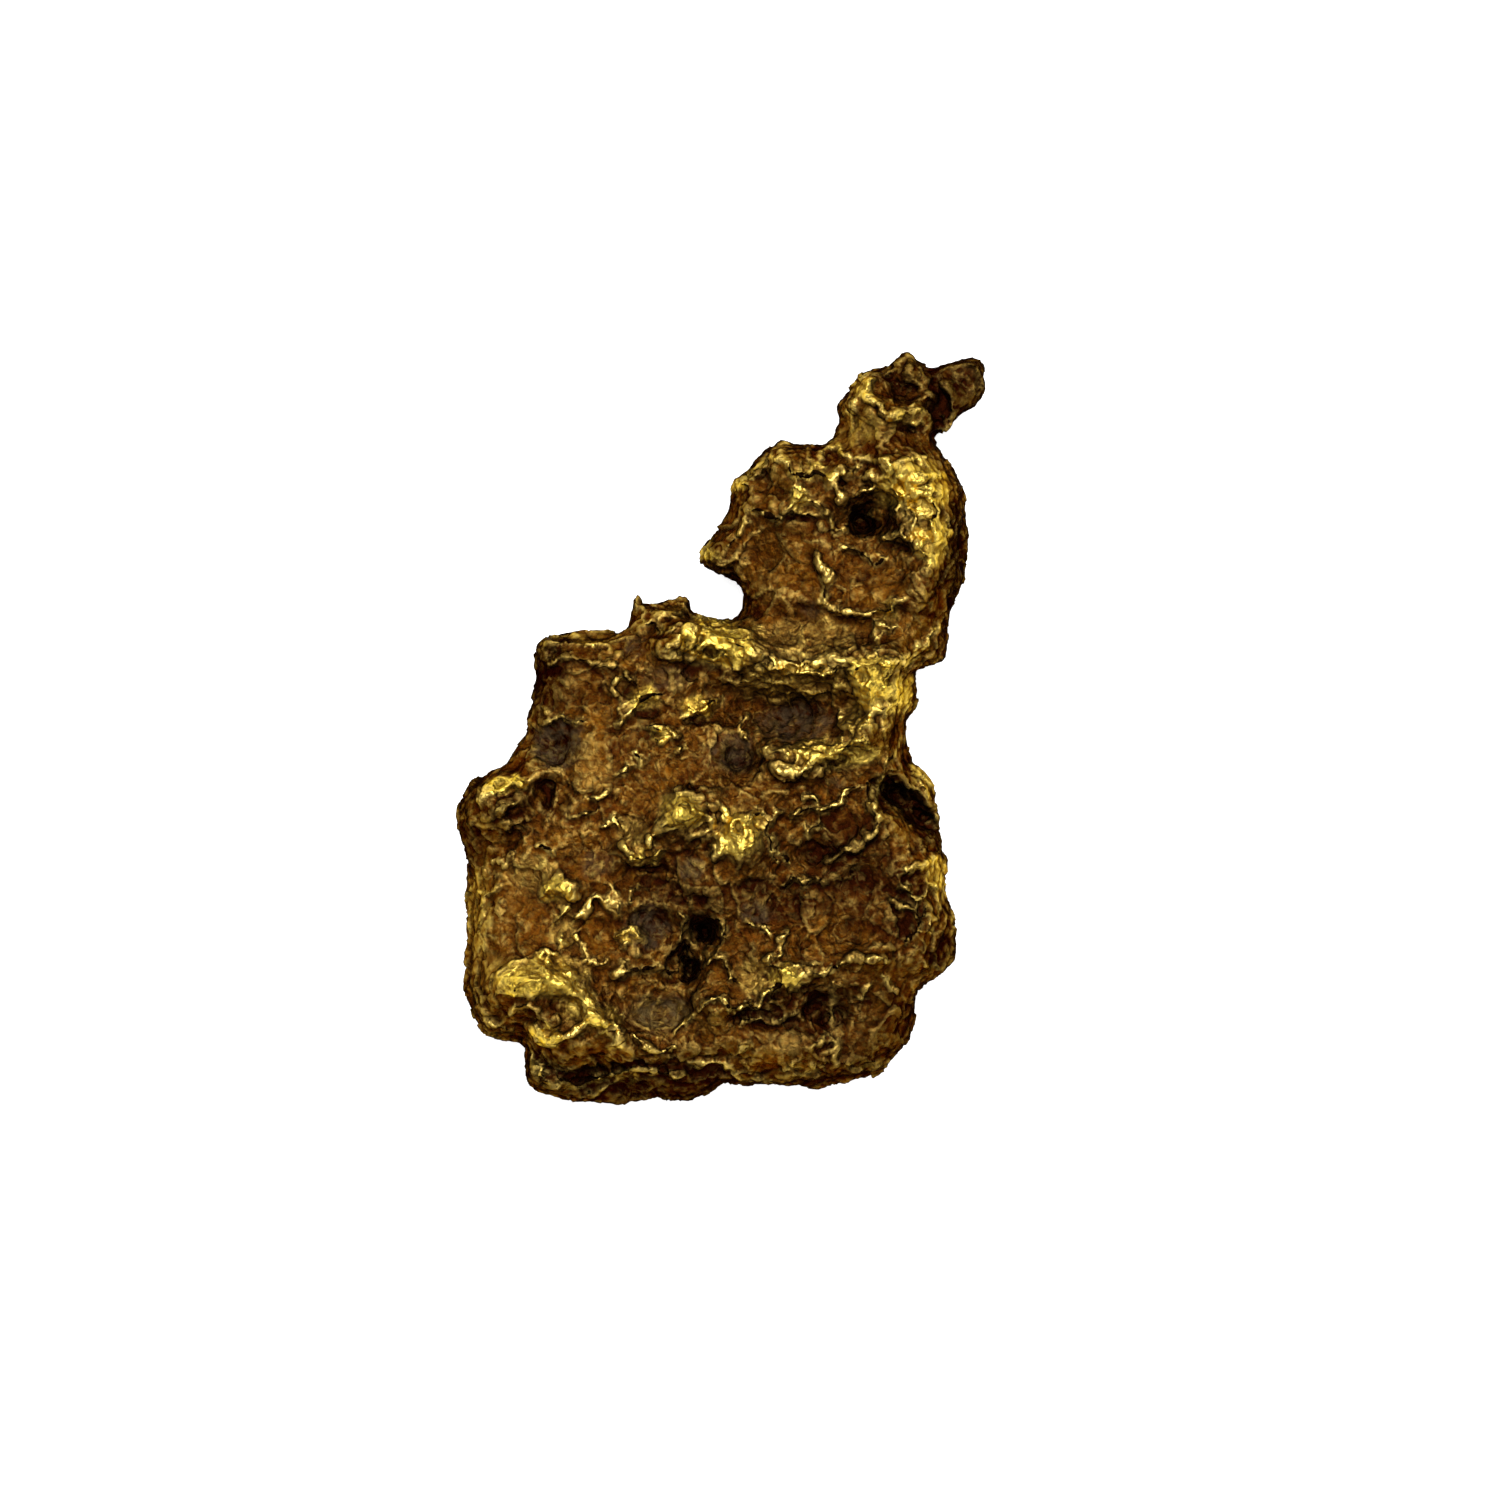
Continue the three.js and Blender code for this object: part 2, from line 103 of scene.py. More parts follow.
# The crests: name, half width, height, how brightly it is worn, and the line it runs along
CRESTS = [
    ("knob rim", 0.22, 0.45, 0.9,
     [(6.1, 14), (5.8, 13.7), (5.5, 13.2), (5.9, 13.1), (6.2, 12.8), (6.6, 12.3), (7.4, 12.4),
      (7.9, 12.7)]),
    ("crown rim", 0.28, 0.35, 0.2, [(6.5, 14.2), (7, 14.5), (7.4, 14.8), (7.8, 14.7), (8, 14.2)]),
    ("knob ear", 0.2, 0.3, 0.7, [(5.2, 13), (5.1, 12.8), (5.2, 12.5)]),
    ("horn back", 0.35, 0.3, 0.15, [(9, 14.5), (9.6, 14.7), (10.2, 14.4), (10.4, 13.8)]),
    ("brow rim", 0.28, 0.45, 0.8, [(0.5, 9.8), (0.9, 9.8), (1, 10.1), (1.4, 10.4), (2, 10.7), (2.4, 10.6)]),
    ("brow net", 0.25, 0.4, 0.75,
     [(2.4, 10.7), (2.8, 10.2), (3.1, 10), (3.5, 10), (3.8, 10.2), (4.2, 9.9), (4.6, 10.2), (5, 10),
      (5.4, 10.3)]),
    ("brow edge", 0.22, 0.25, 0.4, [(2.1, 11.2), (2.5, 11.4), (2.4, 10.7)]),
    ("eye loop", 0.2, 0.35, 0.6, [(4.3, 9.8), (4.4, 9.3), (4.6, 9), (4.9, 9.1)]),
    ("lid loop", 0.2, 0.35, 0.6, [(5.5, 9.9), (6, 10), (6.2, 9.7), (5.8, 9.4), (5.4, 9.2)]),
    ("temple line", 0.2, 0.25, 0.4,
     [(3.8, 10.8), (4.2, 11.2), (4.6, 11.3), (5, 10.8), (5.4, 10.6), (6.3, 10.6)]),
    ("bowl lip", 0.25, 0.4, 0.7,
     [(1.1, 8.7), (1.6, 8.5), (2.2, 8.3), (2.4, 8.4), (2.8, 8.8), (3.2, 9.1), (3.5, 9.2)]),
    ("bowl fill", 0.3, 0.3, 0.7, [(3, 9.4), (3.1, 9)]),
    ("nose seam", 0.2, 0.35, 0.5, [(3.4, 9), (4, 8.8), (4.3, 8.2), (4.6, 7.7), (4.9, 7.8)]),
    ("nose shelf", 0.2, 0.3, 0.3, [(2.7, 8.6), (3.4, 8.6), (4, 8.5)]),
    ("cheek line", 0.2, 0.3, 0.5, [(4.7, 7.3), (5.2, 7.1), (5.8, 6.8), (6.2, 6.6), (6.4, 6.8)]),
    ("cheek seam", 0.25, 0.4, 0.8, [(3.9, 6.8), (4, 6.5), (4.2, 6.1), (4.1, 5.6), (4, 5.1)]),
    ("neck seam", 0.22, 0.35, 0.6,
     [(4, 5), (4.6, 4.5), (5.2, 4.6), (5.8, 4.6), (6.3, 4.7), (6.8, 4.8), (7.2, 5)]),
    ("neck bead", 0.35, 0.35, 0.8, [(6.2, 4.1), (6.8, 4)]),
    ("neck rib", 0.2, 0.3, 0.5, [(6.1, 4.1), (6.1, 3.5), (6.1, 3)]),
    ("hole lip", 0.25, 0.4, 0.6, [(6.4, 7.5), (7, 7.6), (7.6, 7.3), (7.8, 7)]),
    ("chin rim", 0.25, 0.3, 0.5, [(-0.8, 7), (-0.5, 7.3), (-0.4, 7.5)]),
    ("chin line", 0.2, 0.2, 0.2, [(-0.6, 6.6), (0.3, 6.6), (1, 6.7)]),
    ("cheek curl", 0.18, 0.2, 0.3, [(0.2, 7.2), (0.6, 7.6), (1, 8.2)]),
    ("forehead front", 0.4, 0.5, 1,
     [(6.4, 10.6), (6.8, 10.3), (7.2, 10), (7.2, 9.4), (7.4, 8.7), (7.7, 7.8), (7.9, 7)]),
    ("forehead top", 0.3, 0.4, 0.9, [(7.1, 9.5), (7.5, 9.8), (8.1, 9.9), (8.8, 10)]),
    ("forehead net", 0.3, 0.4, 0.9, [(7.7, 9.2), (8.2, 9), (8.5, 8.6), (8.3, 8.1), (8.5, 7.5)]),
    ("forehead link", 0.22, 0.3, 0.8, [(7.4, 8.9), (7.8, 9.1), (8.3, 9.5), (8.6, 9.4)]),
    ("temple bar", 0.25, 0.3, 0.5, [(6.8, 10.4), (7.4, 10.6), (8, 10.7)]),
    ("neck corner", 0.3, 0.35, 0.7, [(7.8, 3.1), (8.2, 3.5), (8.6, 4)]),
    ("ledge left", 0.45, 0.6, 1,
     [(-2.2, 3), (-1.6, 3.4), (-1.2, 4), (-0.6, 3.9), (0.1, 3.7), (0.7, 3.2), (1.3, 3)]),
    ("ledge finger one", 0.22, 0.45, 0.8, [(-1.2, 3.9), (-1.3, 3.5), (-1.3, 3.2)]),
    ("ledge finger two", 0.22, 0.45, 0.8, [(-0.4, 3.8), (-0.6, 3.3), (-0.8, 3)]),
    ("ledge loop", 0.22, 0.4, 0.7, [(-2.2, 3.2), (-2.3, 2.9), (-2, 2.7), (-1.7, 2.8)]),
    ("ledge lower", 0.25, 0.45, 0.9, [(-0.3, 2.7), (0.1, 2.9), (0.4, 2.6), (0.6, 2.3), (0.9, 2.6)]),
    ("ledge middle", 0.25, 0.45, 0.8, [(1.2, 3), (1.7, 2.8), (2, 2.6), (1.8, 2.2)]),
    ("ledge ring", 0.2, 0.35, 0.6, [(2.2, 2.6), (2.2, 2.2), (2.4, 2.1), (2.5, 2.4)]),
    ("ledge right", 0.25, 0.45, 0.8, [(2.4, 2.6), (3, 2.5), (3.6, 2.6), (4.3, 2.8), (4.8, 2.7)]),
    ("ledge zigzag", 0.22, 0.4, 0.7, [(3.1, 2.3), (3.8, 2.2), (4.1, 1.9), (4.3, 2.2), (4.6, 2.6)]),
    ("shoulder bar", 0.35, 0.5, 0.9, [(5, 2.6), (5.8, 2.4), (6.5, 2.5), (7.4, 2.5), (7.6, 2.8)]),
    ("shoulder rib", 0.22, 0.35, 0.7, [(6.6, 2.4), (6.4, 1.9), (6.3, 1.5)]),
    ("shoulder mass", 0.6, 0.5, 1, [(5.8, 1.5), (6.2, 1.4), (6.8, 1.7), (7, 1.5)]),
    ("shoulder edge", 0.25, 0.35, 0.8, [(5.4, 2.4), (5.7, 1.8), (5.8, 1.2), (6, 0.7)]),
    ("shoulder base", 0.3, 0.4, 0.8, [(5.6, 0.1), (5.9, 0.4), (6, 0.8), (6.5, 0.8), (7.1, 1)]),
    ("shoulder hook", 0.2, 0.35, 0.5, [(4.7, 0.5), (4.8, 0.1), (5.1, 0)]),
    ("diagonal", 0.35, 0.55, 1,
     [(5.6, -0.5), (5.1, -0.6), (4.5, -1), (3.8, -1.2), (3.4, -1.4), (3.1, -1.8), (2.7, -1.8),
      (2.1, -1.6)]),
    ("diagonal upper", 0.25, 0.35, 0.6, [(3.1, -1), (3.8, -0.9), (4.5, -0.7)]),
    ("spur", 0.35, 0.4, 0.8, [(1.6, -0.9), (1.9, -1), (2.4, -0.8)]),
    ("diagonal beak", 0.22, 0.3, 0.7, [(2, -1.6), (2.4, -1.4), (2.9, -1.6), (3.4, -1.9)]),
    ("bit one", 0.35, 0.45, 0.9, [(-3.4, 1), (-3, 1.2), (-2.6, 1.2)]),
    ("bit loop", 0.2, 0.3, 0.4, [(-4.2, 1.8), (-3.8, 2.2), (-3.6, 1.7)]),
    ("bit loop left", 0.2, 0.25, 0.3, [(-4.3, 1.8), (-4.2, 1.2), (-3.9, 0.8), (-3.5, 1)]),
    ("bit two", 0.35, 0.45, 0.9, [(-1.3, 0.6), (-0.9, 0.7), (-0.2, 1)]),
    ("bit tail", 0.25, 0.3, 0.5, [(-3.4, 1), (-3.7, 0.5), (-4.2, 0.2)]),
    ("bit three", 0.25, 0.4, 0.8, [(-2.9, -0.1), (-2.6, 0), (-2.2, -0.2), (-1.7, -0.2)]),
    ("bit three lower", 0.2, 0.3, 0.6, [(-2.8, -0.4), (-2.4, -0.5), (-2.1, -0.4)]),
    ("bit four", 0.22, 0.35, 0.8, [(-1.8, -0.9), (-1.5, -0.7)]),
    ("bit five", 0.22, 0.35, 0.8, [(-3.4, -1), (-3.2, -1.4)]),
    ("bit six", 0.2, 0.35, 0.6, [(0.9, 0.4), (0.8, 0), (0.9, -0.3)]),
    ("bit seven", 0.22, 0.3, 0.5, [(-4.2, -1.9), (-3.8, -1.7), (-3.6, -1.5)]),
    ("bit eight", 0.2, 0.3, 0.5, [(-5.2, -2.8), (-4.8, -2.7), (-4.4, -2.5)]),
    ("bit nine", 0.2, 0.3, 0.4, [(-5.9, -3.5), (-5.4, -3.4), (-5, -3.3)]),
    ("bit ten", 0.2, 0.3, 0.5, [(-4.7, -3.8), (-4.3, -3.6), (-4, -3.8)]),
    ("wedge", 0.45, 0.55, 1, [(-2.4, -4.1), (-2.2, -3.5), (-1.8, -3.2), (-1.2, -3.4)]),
    ("wedge rim", 0.2, 0.35, 0.6, [(-1.2, -3.4), (-0.8, -3.5), (-0.4, -3.7), (-0.6, -4.1), (-1.3, -4.4)]),
    ("wedge curl", 0.2, 0.3, 0.4, [(-0.4, -3), (0, -3.2), (0.1, -3.5)]),
    ("wedge tail", 0.25, 0.35, 0.5, [(-1.8, -2.5), (-1.7, -2.9), (-1.8, -3.2)]),
    ("wedge toe", 0.28, 0.45, 0.9, [(-3.6, -5.2), (-3.3, -5.3), (-2.8, -5.2), (-2.5, -5)]),
    ("wedge bead", 0.25, 0.4, 0.9, [(-2.8, -4.4), (-2.8, -4.6)]),
    ("wedge dot", 0.22, 0.35, 0.7, [(-3.9, -4.6), (-3.8, -4.8)]),
    ("lump left", 0.4, 0.45, 1, [(-0.2, -5), (0.2, -4.2), (0.5, -3.8), (1, -3.6), (1.4, -3.4)]),
    ("lump right", 0.28, 0.35, 0.7, [(1.4, -3.4), (1.8, -3.6), (1.8, -4.2), (2.1, -4.9), (2.4, -5.3)]),
    ("lump loop", 0.2, 0.25, 0.6, [(0.8, -3.9), (1.2, -3.8), (1.4, -4.2), (1, -4.6), (0.8, -4.7)]),
    ("lump wing", 0.22, 0.3, 0.5, [(-0.6, -4.4), (-0.3, -4.2), (0, -4.3)]),
    ("thin ridge", 0.22, 0.4, 0.7,
     [(2.9, -3.5), (3.4, -3.3), (4.3, -3.2), (4.7, -3), (4.9, -2.5), (5.4, -2.4)]),
    ("thin curl", 0.18, 0.3, 0.4, [(3.3, -2.8), (3.8, -2.8), (3.8, -3.1)]),
    ("bead loop", 0.2, 0.3, 0.6, [(2.1, -3.5), (2.1, -3.2), (2.4, -3.3)]),
    ("bead low", 0.22, 0.3, 0.5, [(3.4, -3.9), (3.5, -4.2), (3.8, -3.9)]),
    ("shelf", 0.22, 0.35, 0.5, [(2.6, -6.1), (3.1, -6), (3.4, -6.2), (4, -6)]),
    ("fold", 0.2, 0.4, 0.45,
     [(7.2, -0.4), (6.8, -1.1), (6.4, -1.6), (6.2, -2.3), (6, -3), (6.2, -3.6), (6, -4.2), (5.2, -4.7),
      (4.3, -5.4)]),
    ("fold twin", 0.18, 0.3, 0.35, [(5.8, -2.2), (5.8, -3), (6.1, -3.4)]),
    ("pit rim", 0.3, 0.4, 0.5, [(7.6, -1.5), (8.1, -2.0), (8.4, -2.7)]),
    ("pit rim foot", 0.3, 0.3, 0.05, [(8.4, -2.9), (8.5, -3.4), (8.6, -4)]),
    ("flank step one", 0.25, 0.4, 0.7, [(7.4, -5.6), (7.9, -5.5), (8.5, -5.3), (8.8, -4.9)]),
    ("flank step two", 0.22, 0.4, 0.7, [(7.2, -6.2), (7.5, -6.5), (7.8, -6.7), (8.2, -6.4), (8.6, -6.1)]),
    ("flank step three", 0.22, 0.35, 0.6, [(6.7, -6.8), (7, -7), (7.4, -7.1), (7.9, -6.9)]),
    ("flank cord one", 0.18, 0.35, 0.5, [(8.6, -6.9), (8.5, -7.5), (8.3, -8.1)]),
    ("flank cord two", 0.18, 0.35, 0.5, [(8.2, -7.1), (8, -7.6), (7.8, -8.2)]),
    ("flank cord three", 0.18, 0.35, 0.4, [(7.7, -7.2), (7.6, -7.8), (7.4, -8.4)]),
    ("lobe rim", 0.25, 0.3, 0.3,
     [(9, -7.1), (9.2, -7.9), (9.3, -8.7), (9.1, -9.4), (8.6, -9.7), (8.1, -9.4)]),
    ("left lump crest", 0.45, 0.5, 0.9, [(-9.6, -2.8), (-9.2, -2.3), (-8.5, -2.1), (-7.9, -2.2)]),
    ("left lump lip", 0.22, 0.3, 0.5, [(-8.9, -3.1), (-8.5, -3.2), (-8.2, -3)]),
    ("left lump base", 0.22, 0.15, 0.1, [(-10.2, -4), (-9.7, -3.8), (-8.9, -3.8), (-8, -3.8)]),
    ("shoulder curl", 0.25, 0.35, 0.5, [(-7.4, 3.2), (-7.1, 3.4), (-6.5, 3.8), (-5.9, 3.6)]),
    ("curl floor", 0.2, 0.3, 0.3, [(-7.4, 2.5), (-6.9, 2.6), (-6.4, 2.7), (-6.1, 3)]),
    ("shoulder net one", 0.18, 0.25, 0.3, [(-5.6, 3.5), (-5.2, 3.3), (-4.8, 3.5), (-4.5, 3.2)]),
    ("shoulder net two", 0.18, 0.25, 0.3, [(-5.7, 2.7), (-5.2, 2.6), (-4.8, 2.5), (-4.3, 2.4)]),
    ("shoulder spot", 0.22, 0.3, 0.5, [(-7.2, 0.9), (-6.9, 0.7)]),
    ("shoulder fold", 0.2, 0.3, 0.3, [(-7, 0.4), (-6.4, 0.6), (-6, 0.2), (-5.4, 0.3)]),
    ("spike one", 0.22, 0.25, 0.2, [(-3.4, 5.2), (-3.2, 4.6), (-3, 4.2)]),
    ("spike two", 0.2, 0.25, 0.35, [(-2.6, 5.1), (-2.7, 4.6), (-2.5, 4.4), (-2, 4.7), (-1.4, 4.6)]),
    ("spike base", 0.2, 0.3, 0.35, [(-3.3, 4), (-2.8, 4.3), (-2.3, 3.8), (-1.8, 4.1)]),
    ("small lump", 0.6, 0.55, 1, [(-6.8, -6.5), (-6.4, -6.3), (-6, -6.6)]),
    ("plate dot", 0.22, 0.35, 0.7, [(-7.1, -4.6), (-6.9, -4.8)]),
    ("plate seam", 0.18, 0.25, 0.3, [(-9.9, -6.8), (-9.3, -6.6), (-8.7, -6.2)]),
    ("plate curl", 0.18, 0.25, 0.3, [(-9.1, -5.4), (-8.6, -5.4), (-8.2, -5)]),
    ("toe crest", 0.7, 0.65, 1,
     [(-8.1, -10.2), (-7.4, -10), (-6.7, -10), (-6.2, -10.2), (-5.7, -10.6), (-5.4, -11.1),
      (-5, -11.3)]),
    ("toe glint", 0.4, 0.35, 0.5, [(-8.2, -10.5), (-7.7, -10.3)]),
    ("toe inner", 0.32, 0.5, 0.9,
     [(-5, -11.3), (-5.3, -11.7), (-5.7, -11.9), (-6.2, -12.3), (-6.8, -12.5), (-7.3, -12.3),
      (-7.4, -11.8)]),
    ("toe outer", 0.35, 0.45, 1, [(-5, -11.3), (-4.5, -11.7), (-4.1, -12.1), (-4.2, -12.6)]),
    ("toe seam", 0.2, 0.3, 0.3, [(-8.4, -11.3), (-7.8, -11), (-7.2, -11.3)]),
    ("toe skirt", 0.25, 0.3, 0.25, [(-10, -10.3), (-9.6, -11.2), (-9.1, -11.8), (-8.4, -12.3)]),
    ("net arch", 0.22, 0.35, 0.6, [(-5.7, -7.4), (-5.3, -7.1), (-4.8, -6.8), (-4.2, -7.1), (-4.1, -7.6)]),
    ("net one", 0.22, 0.35, 0.6, [(-6.6, -7.6), (-6.4, -7.3), (-6.1, -7.2)]),
    ("net two", 0.22, 0.35, 0.6, [(-6.4, -8.5), (-6.3, -8.2), (-6.2, -8.5)]),
    ("net three", 0.22, 0.35, 0.6, [(-5.8, -8.3), (-5.7, -8.2), (-5.6, -8.6)]),
    ("net four", 0.22, 0.35, 0.6, [(-7, -9.1), (-6.8, -8.9), (-6.5, -8.9)]),
    ("net five", 0.25, 0.35, 0.6, [(-6.2, -9.6), (-5.9, -9.8), (-5.8, -10.2)]),
    ("net six", 0.22, 0.35, 0.6, [(-5.3, -11), (-5.1, -10.8), (-4.9, -10.9)]),
    ("net seven", 0.2, 0.3, 0.4, [(-5.6, -8.6), (-5.4, -9.1), (-5, -9.4), (-4.6, -9.2)]),
    ("net ring", 0.2, 0.35, 0.5, [(-4.6, -6.7), (-4.4, -6.4), (-4.2, -6.6), (-4.3, -6.8)]),
    ("net ring edge", 0.18, 0.25, 0.3, [(-3.5, -6.2), (-3.6, -6.6), (-3.8, -6.9)]),
    ("spur crest", 0.28, 0.4, 0.8, [(-4.1, -8.3), (-3.7, -8), (-3.4, -8.1), (-3.2, -8.3)]),
    ("spur foot", 0.22, 0.3, 0.6, [(-3.9, -8.6), (-3.7, -8.5)]),
    ("core sill", 0.22, 0.35, 0.5,
     [(-4.3, -9.9), (-3.8, -9.7), (-3.3, -9.7), (-2.7, -9.5), (-2.2, -9.6), (-2, -9.8)]),
    ("core sill stub", 0.2, 0.3, 0.4, [(-4.1, -9.8), (-4, -9.4), (-3.8, -9.3)]),
    ("grey sill", 0.22, 0.35, 0.5, [(-3.4, -12.3), (-3, -12.6), (-2.4, -12.9), (-1.8, -12.6)]),
    ("grey edge", 0.2, 0.3, 0.35, [(-1.8, -12.1), (-1.4, -11.8), (-1.2, -11.4)]),
    ("core post", 0.3, 0.35, 0.3, [(-1.5, -7.4), (-1.4, -8), (-1.4, -8.6)]),
    ("skirt rim", 0.22, 0.35, 0.8,
     [(-7.6, -13.1), (-7.3, -13.7), (-6.8, -14.2), (-5.8, -14.3), (-5, -14), (-4.4, -13.7), (-3.6, -13.6),
      (-2.8, -13.7), (-1.4, -13.8)]),
    ("skirt twin", 0.2, 0.25, 0.6, [(-5.3, -14.6), (-4.8, -14.4), (-4.2, -14), (-3.3, -13.9)]),
    ("skirt right", 0.2, 0.25, 0.5, [(-1.3, -13.4), (-0.4, -13.2), (0.4, -13.6), (0.8, -13.9)]),
    ("jagged left", 0.25, 0.5, 0.8,
     [(-0.9, -11), (-0.4, -10.8), (0, -10.7), (0.3, -11.2), (0.9, -11), (1.4, -10.8)]),
    ("jagged", 0.25, 0.55, 0.9, [(1.4, -10.8), (1.7, -10.5), (2.2, -10.2), (2.4, -9.9), (2.8, -9.6)]),
    ("jagged hook", 0.2, 0.45, 0.8,
     [(2.8, -9.6), (2.3, -9.6), (1.8, -9.2), (1.9, -9), (2.3, -8.8), (2.3, -8.4), (2.5, -8.1)]),
    ("jagged bar", 0.22, 0.4, 0.6, [(2.8, -9.5), (3.2, -9.4), (3.7, -9.4)]),
    ("jagged right", 0.18, 0.4, 0.6,
     [(2.8, -9.8), (3.9, -9.7), (4.4, -9.6), (4.6, -9.3), (5.2, -9.2), (6, -9.2), (6.5, -9.2)]),
    ("jagged drop", 0.25, 0.35, 0.6, [(2.4, -9.9), (2.8, -10.2), (2.7, -9.9)]),
    ("grey lump sill", 0.22, 0.35, 0.5, [(1.1, -7.7), (1.4, -7.8), (1.8, -8)]),
    ("core twig", 0.18, 0.3, 0.4, [(0, -7.9), (0.2, -8.4)]),
    ("core seam", 0.2, 0.3, 0.4, [(-0.8, -9.2), (-0.4, -9.2), (0, -9.2), (0.2, -9.5), (0.6, -10)]),
    ("plate hook", 0.2, 0.35, 0.5, [(6.5, -9.9), (6.6, -10.3), (6.8, -10.5)]),
    ("plate bump", 0.25, 0.3, 0.4, [(5.4, -10.6), (5.8, -10.6), (5.8, -10.3)]),
    ("plate knot", 0.2, 0.3, 0.35, [(3.7, -12.6), (4, -12.3), (4.4, -12.5), (4.2, -12.9)]),
    ("plate rib", 0.22, 0.25, 0.3, [(4.5, -10.2), (4.4, -11.1), (4.6, -12.1), (4.5, -13.2)]),
    ("plate lower", 0.22, 0.3, 0.4, [(4.8, -13.5), (5.6, -13.5), (6.3, -13.4), (6.8, -13.1)]),
    ("swell bits", 0.22, 0.3, 0.5, [(0.6, -12.9), (0.8, -12.6), (1.1, -12.5)]),
    ("swell dot", 0.22, 0.3, 0.5, [(2.6, -13.6), (2.9, -13.4)]),
    ("swell edge", 0.2, 0.25, 0.3, [(0.9, -14), (1.9, -14.1), (3.1, -13.8), (4, -13.4)]),
    ("wall line", 0.18, 0.25, 0.2, [(0.8, -11.6), (1.8, -11.6), (3, -11.3)]),
    ("forehead root", 0.6, 0.7, 0.6, [(6.6, 9.9), (6.9, 9.3), (7.0, 8.6)]),
    ("shoulder block", 0.8, 0.8, 0.9, [(5.6, 2.4), (5.9, 1.8), (5.9, 1.2)]),
    ("ledge bulge", 0.7, 0.5, 0.9, [(-0.6, 3.7), (0.2, 3.5), (0.9, 3.1)]),
    ("wedge face", 1.0, 0.3, 1.0, [(-1.9, -3.7), (-1.3, -3.1)]),
    ("lump face", 0.6, 0.35, 0.9, [(0.1, -4.7), (0.5, -4.0)]),
    ("toe back", 0.8, 0.2, 0.3, [(-8.8, -9.8), (-7.8, -9.8), (-6.9, -9.8)]),
    ("ledge front", 0.5, 0.5, 1, [(-0.3, 3.3), (0.4, 3.0), (1.0, 2.7)]),
]
